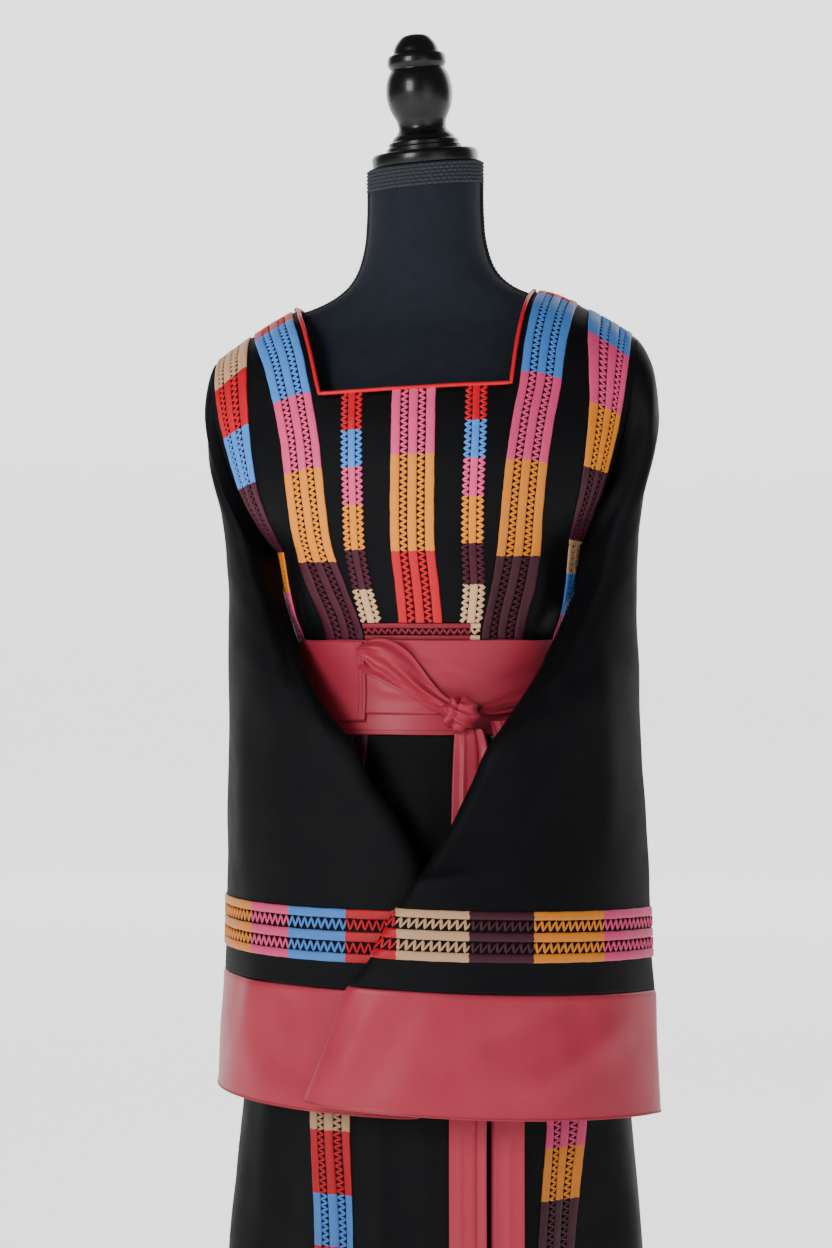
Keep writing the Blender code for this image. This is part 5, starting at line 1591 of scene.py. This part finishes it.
def tube_along(bm, route, normals, radius, sides=10, flat=1.0):
    """A round cord along a route that lies on a surface with these normals."""
    tangents = np.gradient(route, axis=0)
    tangents /= np.linalg.norm(tangents, axis=1, keepdims=True)
    across = np.cross(tangents, normals)
    across /= np.linalg.norm(across, axis=1, keepdims=True)
    upward = np.cross(across, tangents)
    along = walked(route)

    def place(i, j):
        turn = 2 * math.pi * (j % sides) / sides
        ring = np.cos(turn)[:, None] * across[i] + flat * np.sin(turn)[:, None] * upward[i]
        return route[i] + radius * ring, np.stack([radius * turn, along[i]], -1)

    lay_grid(bm, len(route), sides + 1, place, closed=True)


def lay_stitches(bm, line, lift):
    """A row of topstitches that dip into the cloth at both ends."""
    spots, above = line(lift), line(lift + 0.001)
    along = walked(spots)
    normals = (above - spots) / 0.001
    length = sizes().stitch
    for start in np.arange(0.0, along[-1] - length, length * 1.45):
        at = start + length * np.array((0.0, 0.2, 0.8, 1.0))
        route = np.stack([np.interp(at, along, spots[:, axis]) for axis in range(3)], -1)
        up = np.stack([np.interp(at, along, normals[:, axis]) for axis in range(3)], -1)
        route = route + up * np.array((-0.0002, 0.0003, 0.0003, -0.0002))[:, None]
        tube_along(bm, route, up, 0.00034, sides=5)


class THOBE_OT_piping(ThobeOperator):
    """Bind the neckline with red satin piping"""

    bl_idname = "thobe.piping"
    bl_label = "Neck piping"

    def execute(self, context):
        material = satin_finish("red_piping", colours().piping, 0.30)
        radius = sizes().piping
        for name, side, foot in (("piping_front", 1, NECK_LEVEL), ("piping_back", -1, BACK_NECK_LEVEL)):
            down = np.linspace(0.0, foot, 26)
            sides = panel_columns(down, side)
            left, right = NECK_COLUMNS
            floor = panel_columns(np.array([foot]), side)[0]
            level = np.concatenate([down, np.full(38, foot), down[::-1]])
            run = np.linspace(floor[left], floor[right], 40)[1:-1]
            angle = np.concatenate([sides[:, left], run, sides[::-1, right]])
            route = body_cloth(level, angle, side, radius * 0.75)
            normals = body_cloth(level, angle, side, radius * 0.75 + 0.001) - route
            route[[0, -1], 1] = -side * radius * 0.9
            bm = bmesh.new()
            tube_along(bm, route, normals, radius)
            close_ends(bm)
            bmesh.ops.recalc_face_normals(bm, faces=bm.faces[:])
            finish_piece("neck_" + name, bm, material, (name,), sharp=80.0)
        return {"FINISHED"}


def wrap_relief(share, angle):
    lift = np.zeros(np.broadcast(share, angle).shape)
    for crease in WRAP_CREASES:
        turn = (angle - crease.from_angle + 180.0) % 360.0 - 180.0
        span = crease.to_angle - crease.from_angle
        along = turn / span
        line = crease.from_share + (crease.to_share - crease.from_share) * np.clip(along, 0.0, 1.0)
        fade = smooth_step(along, -0.1, 0.25) * smooth_step(1.0 - along, -0.1, 0.25)
        lift = lift + crease.depth * fade * np.exp(-(((share - line) / crease.width) ** 2))
    return lift


def make_wrap(name, share_from, share_to, angles, lift, material, stands_for, closed, relief=1.0):
    rows = 30
    share = np.linspace(share_from, share_to, rows)[:, None]
    edge = np.minimum((share - share_from), (share_to - share)) / (share_to - share_from)
    bead = 0.0005 * np.exp(-((edge - 0.03) ** 2) / 0.0006)
    out = lift + bead + relief * wrap_relief(share, angles[None, :])
    spots = belt_cloth(share, angles[None, :], out)
    turn, down = walked(spots[rows // 2]), walked(spots[:, 0])

    def place(i, j):
        return spots[i, j], np.stack([turn[j], down[i]], -1)

    bm = bmesh.new()
    lay_grid(bm, rows, len(angles), place, closed=closed)
    bm.normal_update()
    face_out(bm, (0.0, 0.0, 1.045))
    return finish_piece(name, bm, material, stands_for, SATIN_WALL)


def make_ribbon(name, spots, material, stands_for, wall=0.0012):
    """A ribbon from a grid of spots, facing the viewer."""
    rows, columns = spots.shape[:2]
    turn, down = walked(spots[rows // 2]), walked(spots[:, columns // 2])

    def place(i, j):
        return spots[i, j], np.stack([turn[j], down[i]], -1)

    bm = bmesh.new()
    lay_grid(bm, rows, columns, place)
    bm.normal_update()
    face_out(bm, (0.0, 0.0, float(spots[..., 2].mean())))
    return finish_piece(name, bm, material, stands_for, wall)


class THOBE_OT_belt(ThobeOperator):
    """Wrap the satin belt round the waist"""

    bl_idname = "thobe.belt"
    bl_label = "Belt"

    def execute(self, context):
        material = satin_finish("belt_satin", colours().satin)
        around = np.linspace(-180.0, 180.0, 241)
        lower = BELT_LIFT + SATIN_WALL
        make_wrap(
            "belt_lower_wrap", LOWER_WRAP_TOP, 1.0, around, lower, material, ("belt_band",), True, 0.3
        )
        upper = lower + SATIN_WALL + 0.0004
        make_wrap("belt_upper_wrap", 0.0, UPPER_WRAP_FOOT, around, upper, material, (), True)
        flap_lift = upper + SATIN_WALL + 0.0009
        flap = np.linspace(*FLAP_ANGLES, 60)
        make_wrap("belt_flap_satin", 0.02, 0.87, flap, flap_lift, material, ("belt_flap",), False, 0.45)
        thread = satin_finish("belt_thread", tuple(0.62 * c for c in colours().satin), 0.45)
        self.sew("stitches_flap", flap_lift, thread)
        return {"FINISHED"}

    def sew(self, name, flap_lift, thread):
        """Two rows of stitches down the flap's free edge and one along the foot of the lower wrap."""
        bm = bmesh.new()
        share = np.linspace(0.05, 0.84, 200)
        for angle in (FLAP_ANGLES[1] - 1.2, FLAP_ANGLES[1] - 3.0):
            lay_stitches(bm, lambda out: belt_cloth(share, np.full(200, angle), out), flap_lift)
        around = np.linspace(-60.0, 60.0, 400)
        lay_stitches(
            bm, lambda out: belt_cloth(np.full(400, 0.955), around, out), BELT_LIFT + SATIN_WALL
        )
        close_ends(bm)
        bmesh.ops.recalc_face_normals(bm, faces=bm.faces[:])
        finish_piece(name, bm, thread, (), sharp=80.0)


def tie_spots(table, rows, columns):
    """A ribbon that lies across the belt, gathered into soft lengthwise folds."""
    level = np.linspace(0.0, len(table) - 1.0, rows)
    row = read_rows(table, level)
    side = np.linspace(-1.0, 1.0, columns)[None, :]
    heights = row.height[:, None] + side * row.half[:, None]
    share = (1.095 - heights) / (1.095 - 0.997)
    deep = np.minimum(row.half[:, None] / 0.012, 1.3)
    fold = deep * 0.0022 * np.sin(side * 4.6 + level[:, None] * 0.5)
    fold = fold + deep * 0.0007 * np.sin(side * 9.5 - level[:, None])
    arch = 0.0032 * (1.0 - side**2)
    angles = row.angle[:, None] + side * 1.2
    return belt_cloth(share, angles, row.lift[:, None] + fold + arch)


def tail_spots(table, rows, columns, folds):
    """A ribbon end that hangs down the skirt, with lengthwise folds."""
    level = np.linspace(0.0, len(table) - 1.0, rows)
    row = read_rows(table, level)
    side = np.linspace(0.0, 1.0, columns)[None, :]
    x = row.left[:, None] + (row.right - row.left)[:, None] * side
    cut = smooth_step(level, len(table) - 1.35, len(table) - 1.0)[:, None] * 0.012 * side
    z = row.height[:, None] + cut
    heights = np.array([r.height for r in BODY])[::-1]
    body_level = np.interp(z, heights, np.arange(len(BODY))[::-1])
    body_row = read_rows(BODY, body_level)
    angle = np.degrees(np.arcsin(np.clip((x - SWAY_LOW) / body_row.edge_x, -0.99, 0.99)))
    under = body_surface(body_level, angle, 1)
    reach = np.minimum.accumulate(under[..., 1].min(axis=1))
    waves = sum(depth * np.exp(-(((side - at) / width) ** 2)) for at, width, depth in folds)
    sway = 0.0012 * np.sin(level[:, None] * 1.1 + side * 2.0)
    y = reach[:, None] - row.lift[:, None] - waves - sway - 0.0022
    x = x + 0.0012 * np.sin(level[:, None] * 0.9)
    return np.stack([x, y, z], axis=-1)


class THOBE_OT_ties(ThobeOperator):
    """Tie the belt: two ribbons, the knot between them and its two hanging ends"""

    bl_idname = "thobe.ties"
    bl_label = "Ties, knot and tails"

    def execute(self, context):
        material = satin_finish("tie_satin", colours().satin)
        make_ribbon("tie_left", tie_spots(TIE_LEFT, 60, 22), material, ("belt_tie_left",))
        make_ribbon("tie_fold", tie_spots(TIE_FOLD, 50, 14), material, ())
        make_ribbon("tie_right", tie_spots(TIE_RIGHT, 50, 18), material, ("belt_tie_right",))
        front_folds = ((0.30, 0.05, 0.0016), (0.72, 0.04, -0.0020), (0.95, 0.10, 0.0016))
        back_folds = ((0.12, 0.05, 0.0014), (0.55, 0.10, 0.0012))
        make_ribbon(
            "tail_front", tail_spots(TAIL_FRONT, 120, 26, front_folds), material, ("belt_tail_front",)
        )
        make_ribbon(
            "tail_back", tail_spots(TAIL_BACK, 120, 22, back_folds), material, ("belt_tail_back",)
        )
        self.make_knot(material)
        return {"FINISHED"}

    def make_knot(self, material):
        """A lump of wound satin: furrows that run round it and a loop drawn over it."""
        bm = bmesh.new()
        cloth = bm.loops.layers.uv.verify()
        bmesh.ops.create_uvsphere(bm, u_segments=96, v_segments=64, radius=1.0)
        for v in bm.verts:
            x, y, z = v.co
            facing = 1.0 if y < 0.3 else 0.2
            across = 0.45 * x + 0.90 * z + 0.16 * math.sin(3.0 * x)
            wound = 0.075 * math.sin(11.0 * across + 0.6)
            tuck = 0.24 * math.exp(-((x * 0.80 - z * 0.62 + 0.30) ** 2) / 0.006)
            loop = 0.14 * math.exp(-((x * 0.80 - z * 0.62 + 0.56) ** 2) / 0.020)
            pull = 1.0 + 0.14 * math.exp(-((abs(x) - 0.85) ** 2) / 0.05)
            v.co *= (1.0 + (wound - tuck + loop) * facing) * pull
        for face in bm.faces:
            for loop in face.loops:
                loop[cloth].uv = (loop.vert.co.x * 0.02, loop.vert.co.z * 0.02)
        turn = Matrix.Rotation(-0.35, 4, "Y")
        bmesh.ops.scale(bm, vec=KNOT_SIZE, verts=bm.verts[:])
        bmesh.ops.transform(bm, matrix=Matrix.Translation(KNOT_CENTRE) @ turn, verts=bm.verts[:])
        finish_piece("tie_knot", bm, material, ("belt_knot",), sharp=80.0)


def form_surface(level, turn, lift=0.0):
    """Points on the dress form. The rings near the neck's top lie along the tilted cap."""
    level, turn = np.broadcast_arrays(np.asarray(level, dtype=float), np.asarray(turn, dtype=float))
    row = read_rows(FORM, level)
    across, ahead = np.sin(turn), -np.cos(turn)
    power = 2.0 / row.squareness
    depth = lift + np.where(ahead < 0, row.front, row.back)
    x = (row.half + lift) * np.sign(across) * np.abs(across) ** power
    y = depth * np.sign(ahead) * np.abs(ahead) ** power
    spots = settle(x, y, row.height)
    slope = smooth_step(row.height, 1.50, 1.58)
    capped = row.height + math.tan(CAP_TILT_ACROSS) * x + math.tan(CAP_TILT_FORWARD) * y
    spots[..., 2] = spots[..., 2] * (1 - slope) + slope * capped
    return spots


class THOBE_OT_form(ThobeOperator):
    """Pad the dress form, with its corded side seams and knitted collar"""

    bl_idname = "thobe.form"
    bl_label = "Dress form"

    def execute(self, context):
        material = jersey_finish()
        self.make_torso(material)
        knit = jersey_finish("form_knit", 0.55)
        self.make_knit_band(knit)
        self.make_cords(knit)
        return {"FINISHED"}

    def make_torso(self, material):
        levels = np.concatenate([np.linspace(0.0, 8.0, 50), np.linspace(8.0, len(FORM) - 1.0, 110)[1:]])
        turns = np.linspace(0.0, 2 * math.pi, 121)
        spots = form_surface(levels[:, None], turns[None, :])
        for at in (0.0, math.pi / 2, math.pi, 1.5 * math.pi):
            away = np.abs((turns - at + math.pi) % (2 * math.pi) - math.pi)
            spots[..., :2] *= (1.0 - 0.006 * np.exp(-((away / 0.035) ** 2)))[None, :, None]
        down = walked(spots[:, 0])

        def place(i, j):
            return spots[i, j], np.stack([turns[j] * 0.1, down[i]], -1)

        bm = bmesh.new()
        lay_grid(bm, len(levels), len(turns), place, closed=True)
        close_ends(bm)
        bm.normal_update()
        face_out(bm)
        finish_piece("form_cover", bm, material, ("form_torso",))

    def make_knit_band(self, material):
        """The knitted collar under the cap: rows of loops."""
        knit_rows, loops = 6, 62
        levels = np.linspace(0.0, 1.0, knit_rows * 6 + 1)
        turns = np.linspace(0.0, 2 * math.pi, loops * 4 + 1)
        rows_up = levels[:, None] * knit_rows
        sway = np.where(np.floor(rows_up - 1e-6) % 2 == 0, 0.25, -0.25)
        loop_shape = np.abs(np.sin(turns[None, :] * loops / 2 + sway * math.pi))
        bulge = np.sqrt(np.abs(np.sin(rows_up * math.pi))) * (0.25 + 0.75 * loop_shape)
        neck = len(FORM) - 1.0
        rolled = 1.0 - np.sqrt(np.clip(1.0 - (1.0 - np.minimum(levels / 0.10, 1.0)) ** 2, 0.0, 1.0))
        top = form_surface(neck, turns[None, :], 0.0006 + 0.0024 * bulge - 0.0022 * rolled[:, None])
        spots = np.broadcast_to(top, (len(levels), len(turns), 3)).copy()
        spots[..., 2] -= levels[:, None] * KNIT_HEIGHT + 0.0006

        def place(i, j):
            return spots[i, j], np.stack([turns[j] * 0.06, levels[i] * KNIT_HEIGHT], -1)

        bm = bmesh.new()
        lay_grid(bm, len(levels), len(turns), place, closed=True)
        bm.normal_update()
        face_out(bm)
        finish_piece("form_knit_band", bm, material, ("form_neck_band",), 0.0010)

    def make_cords(self, material):
        """Two braided strands along each side seam, from the collar down over the shoulder."""
        for side_name, hand in (("left", -1), ("right", 1)):
            levels = np.linspace(13.6, len(FORM) - 1.62, 320)
            line = form_surface(levels, np.full(levels.shape, hand * math.pi / 2), 0.0010)
            normals = form_surface(levels, np.full(levels.shape, hand * math.pi / 2), 0.0016) - line
            tangents = np.gradient(line, axis=0)
            tangents /= np.linalg.norm(tangents, axis=1, keepdims=True)
            across = np.cross(tangents, normals)
            across /= np.linalg.norm(across, axis=1, keepdims=True)
            along = walked(line)
            bm = bmesh.new()
            for strand in (0.0, math.pi):
                wave = np.sin(along * 2 * math.pi / 0.0085 + strand)
                rise = np.cos(along * 2 * math.pi / 0.0085 + strand)
                route = line + across * (0.0014 * wave)[:, None]
                route = route + normals / 0.001 * (0.0011 * rise + 0.0006)[:, None]
                tube_along(bm, route, normals, 0.0014, sides=6)
            close_ends(bm)
            bmesh.ops.recalc_face_normals(bm, faces=bm.faces[:])
            finish_piece(f"form_cord_{side_name}", bm, material, (), sharp=80.0)


def turned_piece(name, profile, sides, matrix, material, stands_for):
    """A turned solid: its profile spun round its axis."""
    bm = bmesh.new()
    verts = [bm.verts.new((row.radius, 0.0, row.height)) for row in profile]
    edges = [bm.edges.new(pair) for pair in zip(verts, verts[1:])]
    bmesh.ops.spin(
        bm,
        geom=verts + edges,
        cent=(0, 0, 0),
        axis=(0, 0, 1),
        angle=math.tau,
        steps=sides,
        use_merge=True,
    )
    bmesh.ops.remove_doubles(bm, verts=bm.verts[:], dist=1e-6)
    close_ends(bm)
    bmesh.ops.recalc_face_normals(bm, faces=bm.faces[:])
    bmesh.ops.transform(bm, matrix=matrix, verts=bm.verts[:])
    return finish_piece(name, bm, material, stands_for, sharp=35.0)


def finer(profile, steps):
    """A turned profile with smooth steps between its rows."""
    level = np.linspace(0.0, len(profile) - 1.0, (len(profile) - 1) * steps + 1)
    row = read_rows(profile, level)
    return [TurnedRow(float(h), float(r)) for h, r in zip(row.height, row.radius)]


class THOBE_OT_finial(ThobeOperator):
    """Turn the lacquered cap and finial of the form's neck"""

    bl_idname = "thobe.finial"
    bl_label = "Cap and finial"

    def execute(self, context):
        material = lacquer_finish("black_wood", tuple(colours().wood), 0.25, 0.02)
        across = Matrix.Rotation(-CAP_TILT_ACROSS, 4, "Y")
        forward = Matrix.Rotation(CAP_TILT_FORWARD, 4, "X")
        place = Matrix.Translation(CAP_CENTRE) @ across @ forward
        turned_piece("neck_disc", CAP_PROFILE, 96, place, material, ("neck_cap",))
        raised = place @ Matrix.Translation((0.0, 0.0, CAP_THICK))
        turned_piece("turned_finial", finer(FINIAL, 4), 72, raised, material, ("finial",))
        return {"FINISHED"}


class THOBE_OT_stand(ThobeOperator):
    """Set up the pole and its round base"""

    bl_idname = "thobe.stand"
    bl_label = "Stand"

    def execute(self, context):
        material = lacquer_finish("black_paint", tuple(colours().paint), 0.34, 0.05)
        turned_piece(
            "round_base", BASE_PROFILE, 128, Matrix.Identity(4), material, ("stand_base",)
        )
        low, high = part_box("stand_pole")
        pole = [TurnedRow(low[2], POLE_RADIUS), TurnedRow(high[2], POLE_RADIUS)]
        lowered = Matrix.Translation((SWAY_LOW, 0.0, 0.0))
        turned_piece("pole", pole, 48, lowered, material, ("stand_pole",))
        return {"FINISHED"}


# The cut of each cloth that shows: its greatest width, its length and its flat area.
# The widths and lengths are taken along the cloth. The area of a sleeve comes from a paper pattern
# of triangles, and the others from the widths at the stations between top and foot.
Cut = namedtuple("Cut", "piece width length area held rests_on sewn_on", defaults=((),))
SEWN_ON_FRONT = (
    "neck_piping_front",
    "stripe_centre",
    "stripe_narrow_left",
    "stripe_narrow_right",
    "stripe_mid_left",
    "stripe_mid_right",
    "stripe_outer_left",
    "stripe_outer_right",
    "stripe_waist",
)
SEWN_ON_BACK = (
    "neck_piping_back",
    "stripe_back_mid_left",
    "stripe_back_mid_right",
    "stripe_back_outer_left",
    "stripe_back_outer_right",
)
PANELS = ("dress_front", "dress_back")
UPPER_WRAP = ("belt_upper_wrap",)
CUTS = (
    Cut("dress_front", 0.706, 1.484, 0.777, "draped", ("form_cover",), SEWN_ON_FRONT),
    Cut("dress_back", 0.726, 1.482, 0.800, "draped", ("form_cover",), SEWN_ON_BACK),
    Cut("sleeve_cloth_left", 0.834, 0.647, 0.289, "hung", PANELS, ("stripe_sleeve_left",)),
    Cut("sleeve_cloth_right", 0.751, 0.684, 0.245, "hung", PANELS, ("stripe_sleeve_right",)),
    Cut("cuff_satin_left", 0.853, 0.124, 0.102, "hung", ("sleeve_cloth_left",)),
    Cut("cuff_satin_right", 0.859, 0.126, 0.100, "hung", ("sleeve_cloth_right",)),
    Cut("belt_lower_wrap", 0.842, 0.033, 0.0271, "draped", PANELS),
    Cut("belt_upper_wrap", 0.829, 0.076, 0.0622, "draped", ("belt_lower_wrap",)),
    Cut("belt_flap_satin", 0.129, 0.083, 0.0104, "draped", UPPER_WRAP),
    Cut("tie_left", 0.045, 0.125, 0.0041, "draped", UPPER_WRAP),
    Cut("tie_fold", 0.018, 0.112, 0.0018, "draped", UPPER_WRAP),
    Cut("tie_right", 0.027, 0.103, 0.0024, "draped", UPPER_WRAP),
    Cut("tail_front", 0.042, 0.680, 0.0280, "hung", ("tie_knot",)),
    Cut("tail_back", 0.036, 0.660, 0.0205, "hung", ("tie_knot",)),
)


class THOBE_OT_cuts(ThobeOperator):
    """Look up the pieces that each cloth's cut says it lies on and has sewn on it"""

    bl_idname = "thobe.cuts"
    bl_label = "Cuts of the cloth"

    def execute(self, context):
        pieces = bpy.data.objects
        for cut in CUTS:
            [pieces[name] for name in cut.rests_on]
            [pieces[name] for name in cut.sewn_on]
        return {"FINISHED"}


class THOBE_OT_stage(ThobeOperator):
    """Set the pale floor, the soft lights and the camera"""

    bl_idname = "thobe.stage"
    bl_label = "Stage"

    def execute(self, context):
        props = context.scene.thobe_stage
        self.make_floor(props)
        self.make_light("key", (-2.1, -3.9, 2.3), 1.5, props.key)
        self.make_light("fill", (2.4, -3.6, 1.5), 2.4, props.key * 0.14)
        self.make_light("rim", (1.4, 2.6, 2.6), 2.0, props.key * 0.12)
        world = bpy.data.worlds.new("studio")
        context.scene.world = world
        world.use_nodes = True
        shade_node = world.node_tree.nodes["Background"]
        shade_node.inputs["Color"].default_value = (1.0, 1.0, 1.0, 1.0)
        shade_node.inputs["Strength"].default_value = props.world
        self.make_camera()
        return {"FINISHED"}

    def make_floor(self, props):
        """A floor that turns up into a wall far behind the figure."""
        bm = bmesh.new()
        bmesh.ops.create_grid(bm, x_segments=80, y_segments=80, size=16.0)
        for v in bm.verts:
            over = max(0.0, v.co.y - 9.0)
            bend = min(over / 2.5, math.pi / 2)
            if over:
                v.co.y = 9.0 + 2.5 * math.sin(bend)
                v.co.z = 2.5 * (1.0 - math.cos(bend)) + max(0.0, over - 2.5 * math.pi / 2) * 3.0
        mesh = bpy.data.meshes.new("studio_floor")
        bm.to_mesh(mesh)
        bm.free()
        mesh.shade_smooth()
        finish = Finish("studio_floor", Specular_IOR_Level=0.2, Emission_Strength=1.7)
        cloudy = finish.noise(finish.coordinates(), 0.8, 2.0)
        base = finish.mix(cloudy, shade(props.floor, 0.985), shade(props.floor, 1.0))
        mesh.materials.append(finish.surface(Base_Color=base, Roughness=0.9, Emission_Color=base))
        floor = bpy.data.objects.new("studio_floor", mesh)
        bpy.context.scene.collection.objects.link(floor)

    def make_light(self, name, place, size, power):
        lamp = bpy.data.lights.new(name, "AREA")
        lamp.energy = power
        lamp.size = size
        light = bpy.data.objects.new(name, lamp)
        light.location = place
        aim = Vector((0.0, 0.0, 1.05)) - Vector(place)
        light.rotation_euler = aim.to_track_quat("-Z", "Y").to_euler()
        bpy.context.scene.collection.objects.link(light)

    def make_camera(self):
        turn = math.radians(EYE_AZIMUTH)
        view = bpy.data.cameras.new("camera")
        view.lens = 85.0
        view.sensor_width = 36.0
        view.shift_x = -0.0128
        camera = bpy.data.objects.new("camera", view)
        camera.location = (EYE_DISTANCE * math.sin(turn), -EYE_DISTANCE * math.cos(turn), EYE_HEIGHT)
        camera.rotation_euler = (math.pi / 2, 0.0, turn)
        bpy.context.scene.collection.objects.link(camera)
        bpy.context.scene.camera = camera


PIECE_OPERATORS = (
    THOBE_OT_stage,
    THOBE_OT_panels,
    THOBE_OT_sleeves,
    THOBE_OT_cuffs,
    THOBE_OT_body_stripes,
    THOBE_OT_waist_stripe,
    THOBE_OT_sleeve_stripes,
    THOBE_OT_piping,
    THOBE_OT_belt,
    THOBE_OT_ties,
    THOBE_OT_form,
    THOBE_OT_finial,
    THOBE_OT_stand,
    THOBE_OT_cuts,
)


class THOBE_PT_panel(bpy.types.Panel):
    """The dress's pieces, sizes and colours"""

    bl_label = "Thobe"
    bl_idname = "THOBE_PT_panel"
    bl_space_type = "VIEW_3D"
    bl_region_type = "UI"
    bl_category = "Thobe"

    def draw(self, context):
        layout = self.layout
        for group in (context.scene.thobe_sizes, context.scene.thobe_colours, context.scene.thobe_stage):
            box = layout.box()
            for key in group.bl_rna.properties.keys():
                if key not in ("rna_type", "name"):
                    box.prop(group, key)
        for operator in PIECE_OPERATORS:
            layout.operator(operator.bl_idname)


CLASSES = (ThobeColours, ThobeSizes, ThobeStage, *PIECE_OPERATORS, THOBE_PT_panel)


def register():
    for kind in CLASSES:
        bpy.utils.register_class(kind)
    bpy.types.Scene.thobe_colours = bpy.props.PointerProperty(type=ThobeColours)
    bpy.types.Scene.thobe_sizes = bpy.props.PointerProperty(type=ThobeSizes)
    bpy.types.Scene.thobe_stage = bpy.props.PointerProperty(type=ThobeStage)


def unregister():
    del bpy.types.Scene.thobe_stage
    del bpy.types.Scene.thobe_sizes
    del bpy.types.Scene.thobe_colours
    for kind in reversed(CLASSES):
        bpy.utils.unregister_class(kind)


def main():
    register()
    for operator in PIECE_OPERATORS:
        group, name = operator.bl_idname.split(".")
        getattr(getattr(bpy.ops, group), name)()


if __name__ == "__main__":
    main()
